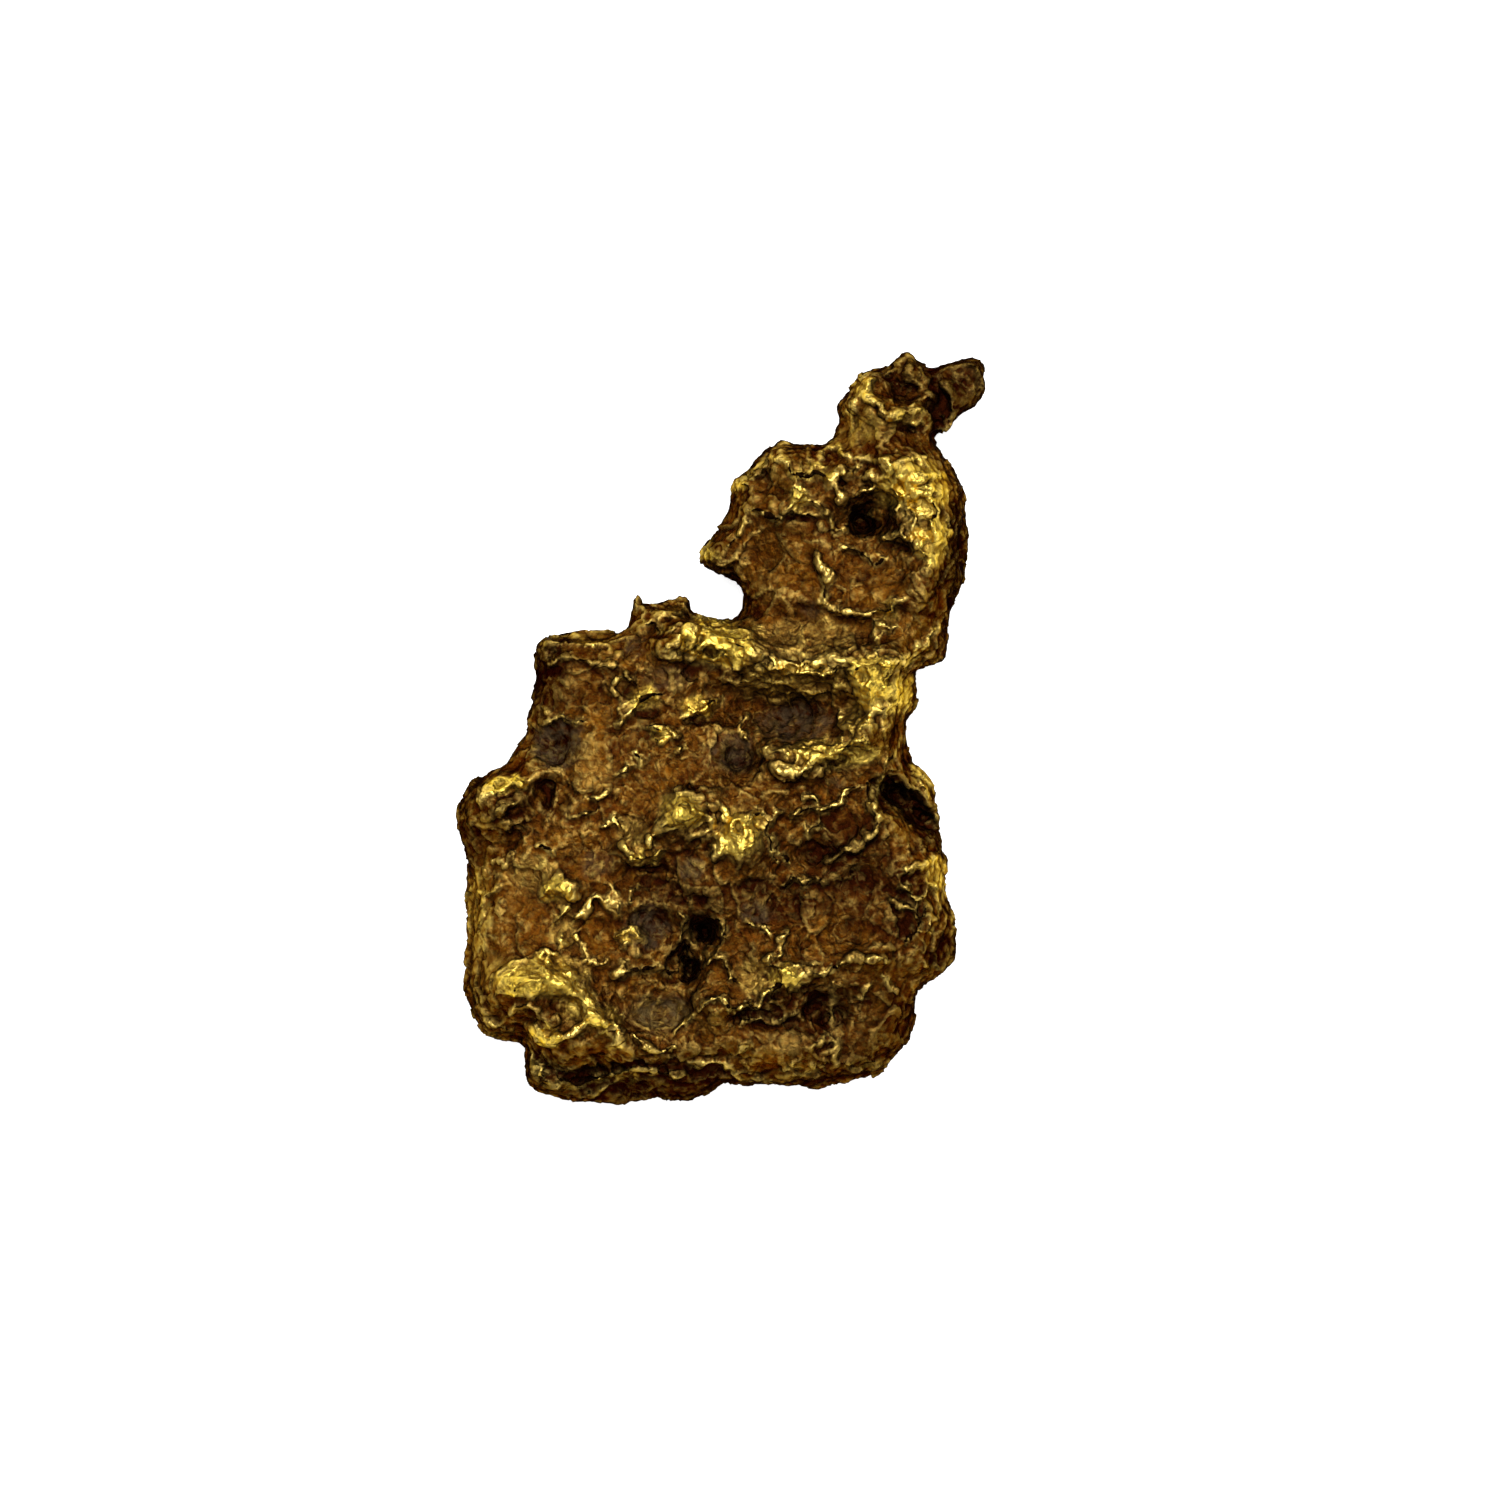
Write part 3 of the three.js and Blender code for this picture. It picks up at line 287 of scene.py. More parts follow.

# The pits: name, middle, reach along X and Y, depth, and how dark it is painted, with iron stain and
# painted shade
PITS = [
    ("head hole", (5.5, 8.15), (0.6, 0.7), 1.0, 0.5),
    ("knob bowl back", (6.7, 13.9), (0.8, 0.45), 1.2, 1),
    ("knob bowl", (7.4, 13.3), (1.15, 0.8), 1.0, 0.5),
    ("knob slot", (7.4, 11.8), (0.68, 0.32), 0.9, 0.95),
    ("horn root", (8.6, 12.7), (0.56, 1.2), 0.6, 0.9),
    ("horn pit", (9.4, 13.8), (0.48, 0.4), 0.35, 0.7),
    ("brow bowl", (1.8, 9.6), (0.88, 0.76), 0.6, 0.15),
    ("brow edge pit", (0.8, 9.4), (0.36, 0.28), 0.5, 0.8),
    ("eye pit", (4.8, 9.6), (0.36, 0.36), 0.5, 0.5),
    ("lid pit", (5.8, 9.7), (0.32, 0.24), 0.35, 0.3),
    ("temple pit", (4.6, 10.7), (0.64, 0.44), 0.4, 0.4),
    ("lash pit", (5.8, 10.5), (0.52, 0.36), 0.4, 0.2),
    ("nose shade", (2.9, 8.4), (1.28, 0.32), 0.5, 0.7),
    ("cheek pit", (5, 6.1), (0.72, 0.56), 0.3, 0.2),
    ("cheek gap", (5.8, 5.8), (0.32, 0.64), 0.35, 0.6),
    ("neck gap", (3.6, 4.7), (0.48, 0.4), 0.3, 0.3),
    ("neck pit", (5.2, 4), (0.68, 0.48), 0.2, 0.1),
    ("neck slit left", (1.4, 4.6), (0.6, 0.2), 0.4, 0.5),
    ("neck slit right", (8, 4.5), (0.88, 0.16), 0.4, 0.9),
    ("hole slit", (7, 7.2), (0.64, 0.2), 0.45, 0.7),
    ("chin slit", (-0.4, 6.6), (0.48, 0.16), 0.3, 0.8),
    ("temple hole", (7.9, 10.4), (0.48, 0.24), 0.4, 0.4),
    ("ledge pit one", (-1.9, 3.1), (0.28, 0.32), 0.6, 0.8),
    ("ledge pit two", (-0.9, 3.4), (0.32, 0.36), 0.6, 0.8),
    ("ledge pit three", (-0.2, 3), (0.32, 0.32), 0.6, 0.9),
    ("ledge pit four", (0.6, 2.9), (0.24, 0.2), 0.35, 0.5),
    ("ledge pit five", (1.7, 2.6), (0.2, 0.2), 0.4, 0.6),
    ("under ledge left", (-1.3, 2.4), (1.36, 0.32), 0.5, 0.5),
    ("under ledge", (1.2, 2.1), (1.6, 0.36), 0.4, 0.4),
    ("under ledge right", (3.5, 1.7), (1.04, 0.4), 0.3, 0.4),
    ("under ledge floor", (3.1, 0.5), (1.68, 0.88), 0.3, 0.3),
    ("shoulder pit", (4.8, 1.5), (0.68, 0.72), 0.4, 0.15),
    ("shoulder gap", (6.6, 1.1), (0.64, 0.16), 0.35, 0.6),
    ("shoulder notch", (6.2, 0.3), (0.24, 0.24), 0.3, 0.5),
    ("hook pit", (6, -0.2), (0.64, 0.28), 0.35, 0.6),
    ("diagonal shade", (4.6, -1.5), (1.2, 0.36), 0.5, 0.7),
    ("beak pit", (2.5, -1.6), (0.24, 0.16), 0.3, 0.6),
    ("bit pit", (-3.8, 1.4), (0.36, 0.4), 0.45, 0.5),
    ("bit shade", (-3, 0.6), (0.72, 0.24), 0.4, 0.7),
    ("bit two shade", (-0.7, 0.2), (1.04, 0.28), 0.5, 0.9),
    ("bit three pit", (-2.7, -0.2), (0.24, 0.16), 0.3, 0.7),
    ("square pit", (0.6, -1.2), (0.6, 0.72), 0.5, 0.65),
    ("small hole", (-1.15, -2.45), (0.34, 0.26), 1.2, 1),
    ("wedge shade", (-1.2, -4.35), (0.9, 0.3), 0.5, 0.6),
    ("wedge toe shade", (-2.9, -5.6), (1.04, 0.36), 0.5, 0.8),
    ("core shade", (-1.3, -4.9), (0.88, 0.4), 0.4, 0.8),
    ("lump under", (1.2, -6.2), (1.04, 0.32), 0.4, 0.8),
    ("lump hole", (1, -3.8), (0.28, 0.16), 0.35, 0.6),
    ("lump loop pit", (1, -4.3), (0.24, 0.24), 0.25, 0.3),
    ("flank pit", (6.9, -2.6), (0.64, 0.48), 1, 1),
    ("flank pit tail", (7.9, -3.4), (0.56, 0.48), 0.8, 1),
    ("flank crack", (6.8, -4.8), (0.2, 0.72), 0.4, 0.9),
    ("flank step pit", (7.8, -5.9), (0.56, 0.24), 0.4, 0.6),
    ("flank hole", (7.6, -4.8), (0.32, 0.2), 0.4, 0.9),
    ("flank shade", (3.9, -4.9), (1.12, 0.64), 0.5, 0.8),
    ("flank dark", (5.4, -6), (1.2, 0.64), 0.3, 0.5),
    ("flank side", (7.3, -7.9), (0.64, 0.48), 0.3, 0.6),
    ("slot", (3, -7), (0.24, 0.72), 0.25, 0.9),
    ("left gap", (-6.8, -2.9), (0.3, 0.5), 0.7, 0.8),
    ("left under", (-8.2, -4.1), (0.88, 0.3), 0.4, 0.5),
    ("left lump pit", (-8.6, -2.8), (0.72, 0.24), 0.4, 0.7),
    ("left hollow", (-6.6, -0.7), (1.04, 0.88), 0.6, 0.45),
    ("curl hollow", (-6.8, 3.1), (0.68, 0.36), 0.6, 0.9),
    ("curl below", (-6.6, 2.2), (0.72, 0.32), 0.4, 0.7),
    ("spike pit", (-2.2, 4.2), (0.32, 0.32), 0.35, 0.4),
    ("net pit one", (-4.8, -7.8), (0.68, 0.56), 0.4, 0.2),
    ("net pit two", (-5.1, -10), (0.48, 0.56), 0.5, 0.2),
    ("net pit three", (-6.8, -7), (0.48, 0.24), 0.35, 0.8),
    ("net pit four", (-6.8, -9.5), (0.24, 0.24), 0.35, 0.6),
    ("core hole", (-0.7, -8.1), (0.46, 0.65), 2.8, 1),
    ("core hole lower", (-1.6, -8.9), (0.45, 0.45), 2.2, 1),
    ("core hole tail", (-1.35, -9.5), (0.36, 0.65), 2.2, 1),
    ("core top", (-1.5, -6.8), (1.36, 0.28), 0.5, 1),
    ("core hollow", (-2.9, -7.7), (0.88, 0.88), 0.4, 0.5),
    ("core notch", (-2.9, -8.7), (0.4, 0.32), 0.5, 0.8),
    ("grey pit", (-2.5, -11.4), (1.12, 0.8), 0.3, 0.1),
    ("grey top", (-2.7, -10.3), (1.04, 0.32), 0.35, 0.6),
    ("toe cavity", (-6.8, -11.2), (0.88, 0.35), 0.4, 0.3),
    ("toe side", (-8.9, -11.4), (0.56, 0.48), 0.4, 0.6),
    ("toe plate", (-5.7, -12.9), (1.36, 0.64), 0.3, 0.2),
    ("skirt groove left", (-6.1, -13.8), (1.52, 0.2), 0.4, 0.5),
    ("skirt groove right", (-3.3, -13.4), (1.44, 0.24), 0.45, 0.8),
    ("skirt hollow", (-3.8, -14.4), (1.28, 0.36), 0.5, 0.8),
    ("skirt dark", (-0.9, -13.6), (1.04, 0.4), 0.4, 0.8),
    ("jagged shade", (1.7, -11.4), (1.44, 0.32), 0.3, 0.4),
    ("jagged gap", (3.7, -10.9), (0.72, 0.72), 0.4, 0.5),
    ("jagged notch", (1.7, -9.8), (0.28, 0.28), 0.4, 0.7),
    ("shelf slit", (6.7, -8.9), (1.2, 0.16), 0.35, 0.8),
    ("plate seam", (4.4, -13.8), (1.04, 0.24), 0.4, 0.8),
    ("lobe pit", (8.4, -9.2), (0.48, 0.4), 0.35, 0.6),
]

# The grooves: name, half width, depth, how dark it is painted with iron stain and painted shade, and the
# line it runs along
GROOVES = [
    ("right gap", 0.6, 0.8, 1.0, [(6.3, -2.35), (7.15, -2.85), (7.9, -3.55), (8.35, -4.15)]),
    ("flank line", 0.35, 0.4, 0.9, [(9.1, 8.8), (9.25, 7.5), (9.3, 6.35), (9.25, 5.2)]),
    ("under neck ledge", 0.4, 0.15, 0.3,
     [(-1.3, 2.35), (0.55, 2.15), (2.2, 1.85), (4.0, 1.65), (5.25, 2.1)]),
    ("left gap", 0.4, 0.3, 0.7, [(-7.0, -2.3), (-6.85, -3.25)]),
    ("under jagged ridge", 0.3, 0.15, 0.5, [(0.6, -11.45), (1.9, -11.5), (3.4, -11.2), (4.35, -10.7)]),
    ("under toe block", 0.3, 0.35, 1.0,
     [(-7.6, -13.0), (-6.9, -13.5), (-6.1, -13.8), (-5.0, -13.7), (-4.0, -13.5)]),
    ("horn root", 0.55, 0.6, 1.0, [(8.4, 14.0), (8.6, 13.0), (8.85, 12.0)]),
]

# The swells that fill the solid's steepest hollows: name, middle, reach along X and Y, and height
SWELLS = [
    ("head hole wall", (6.6, 8.4), (1.2, 1.2), 1.0),
    ("shoulder block", (5.5, 1.8), (0.8, 1.1), 0.6),
    ("under ledge left", (1.4, 1.9), (1.8, 0.8), 0.6),
    ("under ledge", (3.0, 1.6), (1.8, 0.9), 0.75),
    ("under ledge right", (4.7, 1.5), (1.0, 0.9), 0.6),
    ("toe cave", (-6.6, -11.35), (1.1, 0.7), 0.6),
    ("toe block", (-5.9, -12.9), (1.7, 0.7), 0.35),
    ("left gap", (-6.8, -2.9), (0.6, 0.9), 0.5),
    ("left lump foot", (-8.2, -4.0), (1.1, 0.6), 0.5),
    ("bar foot", (2.4, -11.3), (2.1, 0.7), 0.6),
    ("skirt groove", (-6.3, -13.8), (1.7, 0.5), 0.25),
    ("core hole", (-0.7, -8.1), (1.0, 1.0), 0.3),
    ("core hole lower", (-1.5, -9.3), (1.0, 1.0), 0.3),
    ("knob foot", (6.4, 11.4), (1.3, 0.6), 0.35),
    ("head hole foot", (7.2, 7.8), (0.7, 0.7), 0.6),
    ("wedge", (-1.55, -3.35), (0.9, 0.8), 0.7),
    ("neck floor", (3.9, 3.5), (1.6, 0.8), 0.3),
]

# The tips that stand out of the outline: name, middle, reach along X and Y, and how far they are pushed
TIPS = [
    ("horn top", (10.2, 14.5), (1.1, 0.9), (0.14, 0.1)),
    ("horn side", (10.0, 13.2), (1.1, 1.0), (0.2, -0.28)),
    ("horn root", (9.2, 12.3), (0.9, 0.8), (0.1, -0.45)),
    ("knob peak", (7.2, 14.8), (0.9, 0.7), (0.0, 0.3)),
    ("nose", (-0.7, 6.9), (1.2, 0.9), (-0.12, -0.2)),
    ("crown spike", (-3.4, 5.1), (0.35, 0.6), (-0.05, 0.3)),
    ("crown bead", (-1.45, 5.0), (0.4, 0.5), (0.1, 0.3)),
    ("left corner", (-7.5, 3.2), (0.8, 0.8), (-0.2, 0.08)),
    ("left shoulder", (-7.2, 0.3), (0.8, 1.2), (-0.15, 0.0)),
    ("left lobe", (-10.2, -4.7), (0.9, 1.3), (-0.25, 0.0)),
    ("toe corner", (-9.3, -11.7), (0.9, 0.9), (-0.12, -0.12)),
    ("right lobe", (8.6, -4.0), (0.9, 1.1), (0.22, 0.0)),
    ("lower lobe", (9.2, -9.2), (0.9, 1.0), (0.2, -0.05)),
    ("occiput", (9.6, 6.2), (0.8, 1.7), (0.12, 0.0)),
    ("right waist", (9.0, -6.1), (0.8, 1.2), (-0.2, 0.0)),
    ("nose foot", (-0.3, 6.3), (0.9, 0.7), (0.0, -0.15)),
    ("shoulder corner", (8.5, 3.0), (1.0, 0.8), (0.2, -0.25)),
    ("skirt lobe", (-3.2, -15.0), (3.0, 1.0), (0.0, -0.22)),
    ("skirt corner", (-7.4, -13.9), (1.0, 0.9), (-0.12, -0.12)),
    ("swell foot", (1.8, -14.2), (1.6, 0.8), (0.0, -0.15)),
    ("plate foot", (5.2, -14.2), (2.0, 0.9), (0.0, 0.2)),
]

# The patches of clay film, rusty metal, clean metal, spongy metal and dark stain; the dark patches also
# carry painted shade, and a few rusty and clean patches are painted light that lifts shade:
# name, kind, middle, reach along X and Y, and strength
PATCHES = [
    ("left hollow", "grey", (-6.5, -0.6), (1.3, 1.2), 0.9),
    ("core hollow", "grey", (-3, -7.9), (1, 1), 0.9),
    ("grey pit", "grey", (-2.5, -11.3), (1.4, 0.9), 0.9),
    ("pale chip", "grey", (-1.2, -5.6), (0.7, 0.6), 0.8),
    ("grey lump", "grey", (1.4, -7.3), (0.7, 0.5), 0.8),
    ("ledge floor", "grey", (2.9, 0.2), (1.9, 0.9), 0.8),
    ("square pit", "grey", (0.3, -1), (1.2, 1), 0.7),
    ("shoulder left", "grey", (-3.4, 3.2), (0.6, 0.5), 0.6),
    ("under ledge", "grey", (-2.2, 1.9), (1.2, 0.6), 0.5),
    ("flank fleck", "grey", (7.8, -4.6), (0.4, 0.3), 0.5),
    ("small plate", "grey", (-4.9, -5.4), (0.7, 0.7), 0.5),
    ("neck grey", "grey", (3.6, 4.8), (0.6, 0.5), 0.5),
    ("diagonal low", "grey", (4.4, -2.2), (0.6, 0.3), 0.5),
    ("left plate", "orange", (-7.1, -6.5), (3.4, 2.8), 0.5),
    ("left plate rich", "orange", (-6.3, -4.6), (1.4, 0.8), 0.8),
    ("gold band", "orange", (-5.2, -0.9), (0.9, 2.5), 0.9),
    ("cheek", "orange", (2.1, 6.7), (2.4, 1.7), 0.4),
    ("cheek right", "orange", (6.3, 5.5), (1.4, 1), 0.9),
    ("neck right", "orange", (7.3, 3.8), (1, 0.6), 0.9),
    ("neck left", "orange", (2.1, 3.9), (1.4, 0.6), 0.9),
    ("brow", "orange", (5.9, 12.1), (1.4, 1), 0.6),
    ("ledge chip", "orange", (4.9, 1.5), (0.9, 0.8), 0.8),
    ("lump foot", "orange", (0.8, -5.6), (1, 0.6), 0.5),
    ("lower plate", "orange", (2.4, -12.8), (2, 1), 0.9),
    ("head hole wall", "orange", (6.4, 8.5), (1.0, 0.9), 0.9),
    ("head hole wall", "dark", (6.5, 8.2), (0.8, 0.7), 0.2),
    ("head hole shade", "dark", (6.85, 8.35), (0.6, 0.9), 0.6),
    ("right plate", "orange", (6.3, -11.7), (1.8, 1.9), 0.7),
    ("shelf plate", "orange", (4.7, -8.1), (1.8, 1), 0.7),
    ("jagged slope", "orange", (0.9, -9.9), (1.4, 0.9), 0.7),
    ("toe plate", "orange", (-5.7, -12.9), (1.7, 0.7), 0.9),
    ("flank plate", "orange", (7.3, -3.9), (0.9, 0.6), 0.7),
    ("shoulder rust", "orange", (-5.7, 1.9), (1.4, 0.7), 0.6),
    ("net floor", "orange", (-4.9, -8.7), (1, 1.2), 0.6),
    ("neck ledge", "clean_and_painted_light", (-0.3, 3.4), (1.7, 0.9), 0.9),
    ("shoulder mass", "clean_and_painted_light", (5.9, 1.9), (1.1, 1.3), 1.0),
    ("shoulder foot", "clean_and_painted_light", (6.2, 0.2), (0.8, 0.7), 0.2),
    ("diagonal ridge", "clean_and_painted_light", (4.6, -1.0), (2.2, 0.7), 0.8),
    ("forehead band top", "clean_and_painted_light", (8.0, 9.5), (1.3, 1.4), 0.7),
    ("forehead band foot", "clean_and_painted_light", (8.35, 7.45), (0.8, 1.3), 0.7),
    ("knob rim", "clean_and_painted_light", (5.65, 13.55), (0.5, 0.8), 0.4),
    ("knob lip", "clean_and_painted_light", (7.1, 12.2), (1.0, 0.45), 0.4),
    ("wedge", "clean_and_painted_light", (-1.55, -3.35), (1.1, 0.85), 1.0),
    ("centre lump", "clean_and_painted_light", (0.7, -4.2), (1.1, 1.2), 0.85),
    ("left lump", "clean_and_painted_light", (-8.4, -2.3), (1.1, 0.45), 0.9),
    ("toe top", "clean_and_painted_light", (-7.6, -10.1), (1.5, 0.6), 1.0),
    ("toe block", "clean_and_painted_light", (-6.95, -12.2), (0.75, 0.5), 0.9),
    ("left bead", "clean_and_painted_light", (-6.5, -6.45), (0.8, 0.65), 1.0),
    ("jagged ridge", "clean_and_painted_light", (2.5, -9.9), (0.8, 0.6), 1.0),
    ("crown bead", "clean_and_painted_light", (-3.1, 1.2), (0.7, 0.6), 1.0),
    ("brow bead", "clean_and_painted_light", (-0.9, 0.85), (1.0, 0.5), 1.0),
    ("lower bead", "clean_and_painted_light", (-2.45, -0.3), (0.55, 0.35), 0.8),
    ("nose tip", "clean_and_painted_light", (-0.6, 6.9), (0.45, 0.45), 0.7),
    ("forehead bead", "clean_and_painted_light", (3.15, 9.05), (0.45, 0.45), 0.7),
    ("core bead", "clean_and_painted_light", (-3.7, -8.25), (0.5, 0.4), 0.7),
    ("core lip", "clean_and_painted_light", (-3.1, -5.1), (0.8, 0.45), 0.8),
    ("right cluster", "clean_and_painted_light", (8.6, -6.0), (0.7, 1.0), 0.55),
    ("pit rim", "clean_and_painted_light", (8.1, -1.9), (0.7, 1.0), 0.3),
    ("brow", "clean_and_painted_light", (5.6, 11.9), (0.9, 0.7), 0.35),
    ("left plate", "clean_and_painted_light", (-7.6, -5.8), (1.2, 0.8), 0.3),
    ("brow net", "clean_and_painted_light", (3.5, 10.1), (1.0, 0.5), 0.5),
    ("forehead front", "clean_and_painted_light", (6.8, 9.6), (0.8, 1.0), 0.8),
    ("toe loop", "clean_and_painted_light", (-5.6, -11.0), (0.9, 0.9), 0.6),
    ("toe outer", "clean_and_painted_light", (-4.7, -11.5), (0.8, 0.7), 0.7),
    ("wedge left", "clean_and_painted_light", (-3.5, -4.3), (0.8, 0.8), 0.3),
    ("net left", "clean_and_painted_light", (-6.2, -7.9), (0.7, 1.0), 0.3),
    ("shoulder hook", "clean_and_painted_light", (5.3, 0.3), (0.6, 0.9), 0.5),
    ("toe ridge", "clean_and_painted_light", (-6.7, -10.2), (1.4, 0.6), 1.0),
    ("toe flank", "clean_and_painted_light", (-9.2, -9.7), (1.1, 1.0), 0.15),
    ("toe upper", "clean_and_painted_light", (-7.2, -9.6), (1.6, 0.7), 0.9),
    # Painted light: the neck floor and ledge foot patches lift the shade in the valley under the head and
    # beneath the ledge.
    ("neck floor", "clean_and_painted_light", (3.6, 3.6), (2.2, 0.9), 0.25),
    ("ledge foot", "clean_and_painted_light", (2.8, 1.8), (2.8, 0.9), 0.4),
    ("ledge top", "clean_and_painted_light", (-0.4, 4.1), (1.1, 0.6), 0.7),
    ("toe net", "clean_and_painted_light", (-5.9, -9.7), (0.8, 0.7), 0.4),
    ("neck ledge", "spongy", (-0.5, 3.1), (1.9, 0.8), 0.8),
    ("ledge middle", "spongy", (2.4, 2.6), (1.6, 0.6), 0.8),
    ("ledge right", "spongy", (4.2, 2.5), (1.2, 0.5), 0.7),
    ("shoulder mass", "spongy", (6.2, 1.9), (1.2, 1.1), 0.7),
    ("diagonal", "spongy", (4.0, -1.2), (2.0, 0.7), 0.65),
    ("forehead", "spongy", (7.8, 8.8), (0.9, 1.8), 0.7),
    ("lump", "spongy", (0.9, -4.1), (0.8, 0.7), 0.7),
    # The dark patches: dark stain together with painted shade where the surface lies in shade.
    ("middle band", "dark", (2.3, -6.8), (3.4, 1.1), 0.75),
    ("lower right", "dark", (5.3, -12.0), (3.6, 2.4), 0.65),
    ("lower left", "dark", (-0.8, -12.9), (1.4, 0.8), 0.4),
    ("flank step", "dark", (6.4, -6.8), (2.2, 2.0), 0.65),
    ("left shoulder", "dark", (-5.7, 2.0), (1.4, 1.6), 0.45),
    ("left band", "dark", (-3.6, -0.2), (1.6, 1.0), 0.35),
    ("cheek shade", "dark", (2.9, 8.1), (1.2, 0.7), 0.4),
    ("cheek foot", "dark", (5.9, 5.8), (0.9, 0.6), 0.35),
    ("flank top", "dark", (5.0, -4.0), (1.3, 0.9), 0.65),
    ("toe side", "dark", (-9.9, -10.9), (0.8, 0.9), 0.3),
    ("neck", "clean_and_painted_light", (1.2, 3.6), (1.0, 0.7), 0.4),
    ("left rim", "clean_and_painted_light", (-9.8, -7.4), (0.7, 2.2), 0.3),
    ("ledge end", "clean_and_painted_light", (0.4, 3.1), (1.1, 0.9), 1.0),
    ("shoulder side", "clean_and_painted_light", (7.1, 1.3), (0.7, 1.0), 0.7),
    ("jagged slope", "clean_and_painted_light", (1.5, -9.9), (1.2, 0.8), 0.35),
    ("grey pit", "clean_and_painted_light", (-2.4, -11.4), (1.5, 0.8), 0.2),
    ("gold band", "clean_and_painted_light", (-5.1, -1.8), (0.9, 0.8), 0.08),
    ("skirt left", "dark", (-7.0, -13.7), (1.0, 0.9), 0.7),
    ("crown slope", "clean_and_painted_light", (-4.8, 3.6), (1.4, 0.6), 0.15),
    ("cheek side", "dark", (8.5, 5.7), (0.7, 0.9), 0.35),
    ("swell foot", "dark", (2.4, -14.2), (2.4, 0.7), 0.7),
    ("neck bead", "clean_and_painted_light", (6.6, 4.6), (0.6, 0.5), 0.6),
    ("brow rim", "clean_and_painted_light", (0.6, 9.7), (0.5, 0.5), 0.5),
    ("temple", "clean_and_painted_light", (4.7, 11.3), (0.7, 0.5), 0.25),
    ("toe front", "dark", (-5.5, -13.0), (1.5, 0.6), 0.3),
    ("toe cave", "dark", (-6.7, -11.35), (0.9, 0.45), 0.5),
    # Painted light: this rusty patch lightens the shaded neck valley.
    ("neck middle", "orange", (4.2, 4.0), (2.4, 0.8), 0.8),
    # Dark patches below: dark stain with painted shade on the horn's shaded side, the right rim and other
    # shaded spots.
    ("horn", "dark", (9.8, 13.7), (1.9, 1.8), 0.95),
    ("knob", "dark", (7.2, 14.3), (1.5, 0.9), 0.5),
    ("brow edge", "dark", (1.2, 10.6), (1.2, 0.9), 0.5),
    ("nose", "dark", (-0.4, 7.3), (0.9, 1.0), 0.5),
    ("left curl", "dark", (-7.1, 2.2), (1.5, 2.2), 0.85),
    ("left end", "dark", (-10.1, -2.6), (0.9, 1.2), 0.5),
    ("left foot", "dark", (-10.2, -4.7), (0.8, 1.2), 0.8),
    ("right rim", "dark", (8.9, -4.2), (0.8, 1.2), 0.7),
    ("lower plate", "dark", (3.2, -12.2), (2.6, 1.0), 0.6),
    ("core shelf", "dark", (-1.6, -6.4), (2.3, 0.8), 0.7),
    ("right flank", "dark", (9.4, 6.4), (0.8, 2.8), 0.6),
    ("left lump foot", "dark", (-8.5, -3.3), (1.4, 0.8), 0.6),
    ("skirt", "dark", (-2.6, -14.3), (5.2, 1.2), 0.9),
    ("core", "dark", (-1.6, -7.6), (2.1, 1.6), 0.65),
    ("flank", "dark", (5.2, -5.6), (2.4, 1.7), 0.75),
    ("ledge floor", "dark", (3.0, 0.9), (1.6, 0.9), 0.2),
    ("left hollow", "dark", (-6.5, -0.6), (1.3, 1.2), 0.6),
    ("square pit", "dark", (0.5, -1.2), (0.9, 0.8), 0.5),
    ("jagged foot", "dark", (2.8, -11.0), (2.4, 0.9), 0.5),
    ("right wall", "dark", (9.1, -9.2), (1.0, 1.4), 0.85),
]


def places(mesh):
    flat = np.empty(len(mesh.vertices) * 3)
    mesh.vertices.foreach_get("co", flat)
    return flat.reshape(-1, 3)


def facings(mesh):
    flat = np.empty(len(mesh.vertices) * 3)
    mesh.vertex_normals.foreach_get("vector", flat)
    return flat.reshape(-1, 3)


def place(mesh, points):
    mesh.vertices.foreach_set("co", points.ravel())
    mesh.update()


def ramp(low, high, values):
    share = np.clip((values - low) / (high - low), 0, 1)
    return share * share * (3 - 2 * share)


def noise_at(points, pitch, layer):
    shift = LAYER_STEP * layer
    return np.array([noise.noise(Vector(p) / pitch + shift) for p in points.tolist()])


def distance_to(path, points):
    nearest = np.full(len(points), np.inf)
    for start, end in zip(path[:-1], path[1:]):
        run = end - start
        along = np.clip((points - start) @ run / (run @ run), 0, 1)
        nearest = np.minimum(nearest, np.linalg.norm(points - start - along[:, None] * run, axis=1))
    return nearest


def strokes_on(plan, strokes, gauge):
    """For each stroke, the vertices near it, how close they are to its line, its height and its finish."""
    for _, width, height, finish, path in strokes:
        path = np.array(path)
        reach = width * gauge
        widest = reach.max()
        near = np.nonzero(((plan > path.min(0) - widest) & (plan < path.max(0) + widest)).all(1))[0]
        share = np.clip(1 - distance_to(path, plan[near]) / reach[near], 0, 1)
        yield near, share, height, finish


def spot_share(plan, at, reach):
    share = np.linalg.norm((plan - at) / reach, axis=1)
    return np.where(share < 1, (1 - share**2) ** 2, 0)


def chips_at(points, pitch):
    """A sideways step of its own for each small cell of the skin, so that lines run in angular pieces."""
    steps = []
    for p in points.tolist():
        middle = noise.voronoi(Vector(p) / pitch)[1][0]
        steps.append(noise.cell_vector(middle * CHIP_SEED))
    return np.array(steps)[:, :2] - 0.5


def gauge_of(points):
    """How wide a stroke runs at each vertex, as a share of its own width: crests thin and thicken."""
    return 1 + GAUGE_SPREAD * noise_at(points, GAUGE_PITCH, layer=12)


def plan_of(points):
    """Where the listed marks see each vertex: a little astray, so that no mark is quite smooth."""
    astray = WANDER * np.stack([noise_at(points, WANDER_PITCH, layer) for layer in (1, 2)], axis=1)
    astray += JITTER * np.stack([noise_at(points, JITTER_PITCH, layer) for layer in (10, 11)], axis=1)
    astray += CHIP * chips_at(points, CHIP_PITCH)
    return points[:, :2] + MIDDLE + astray


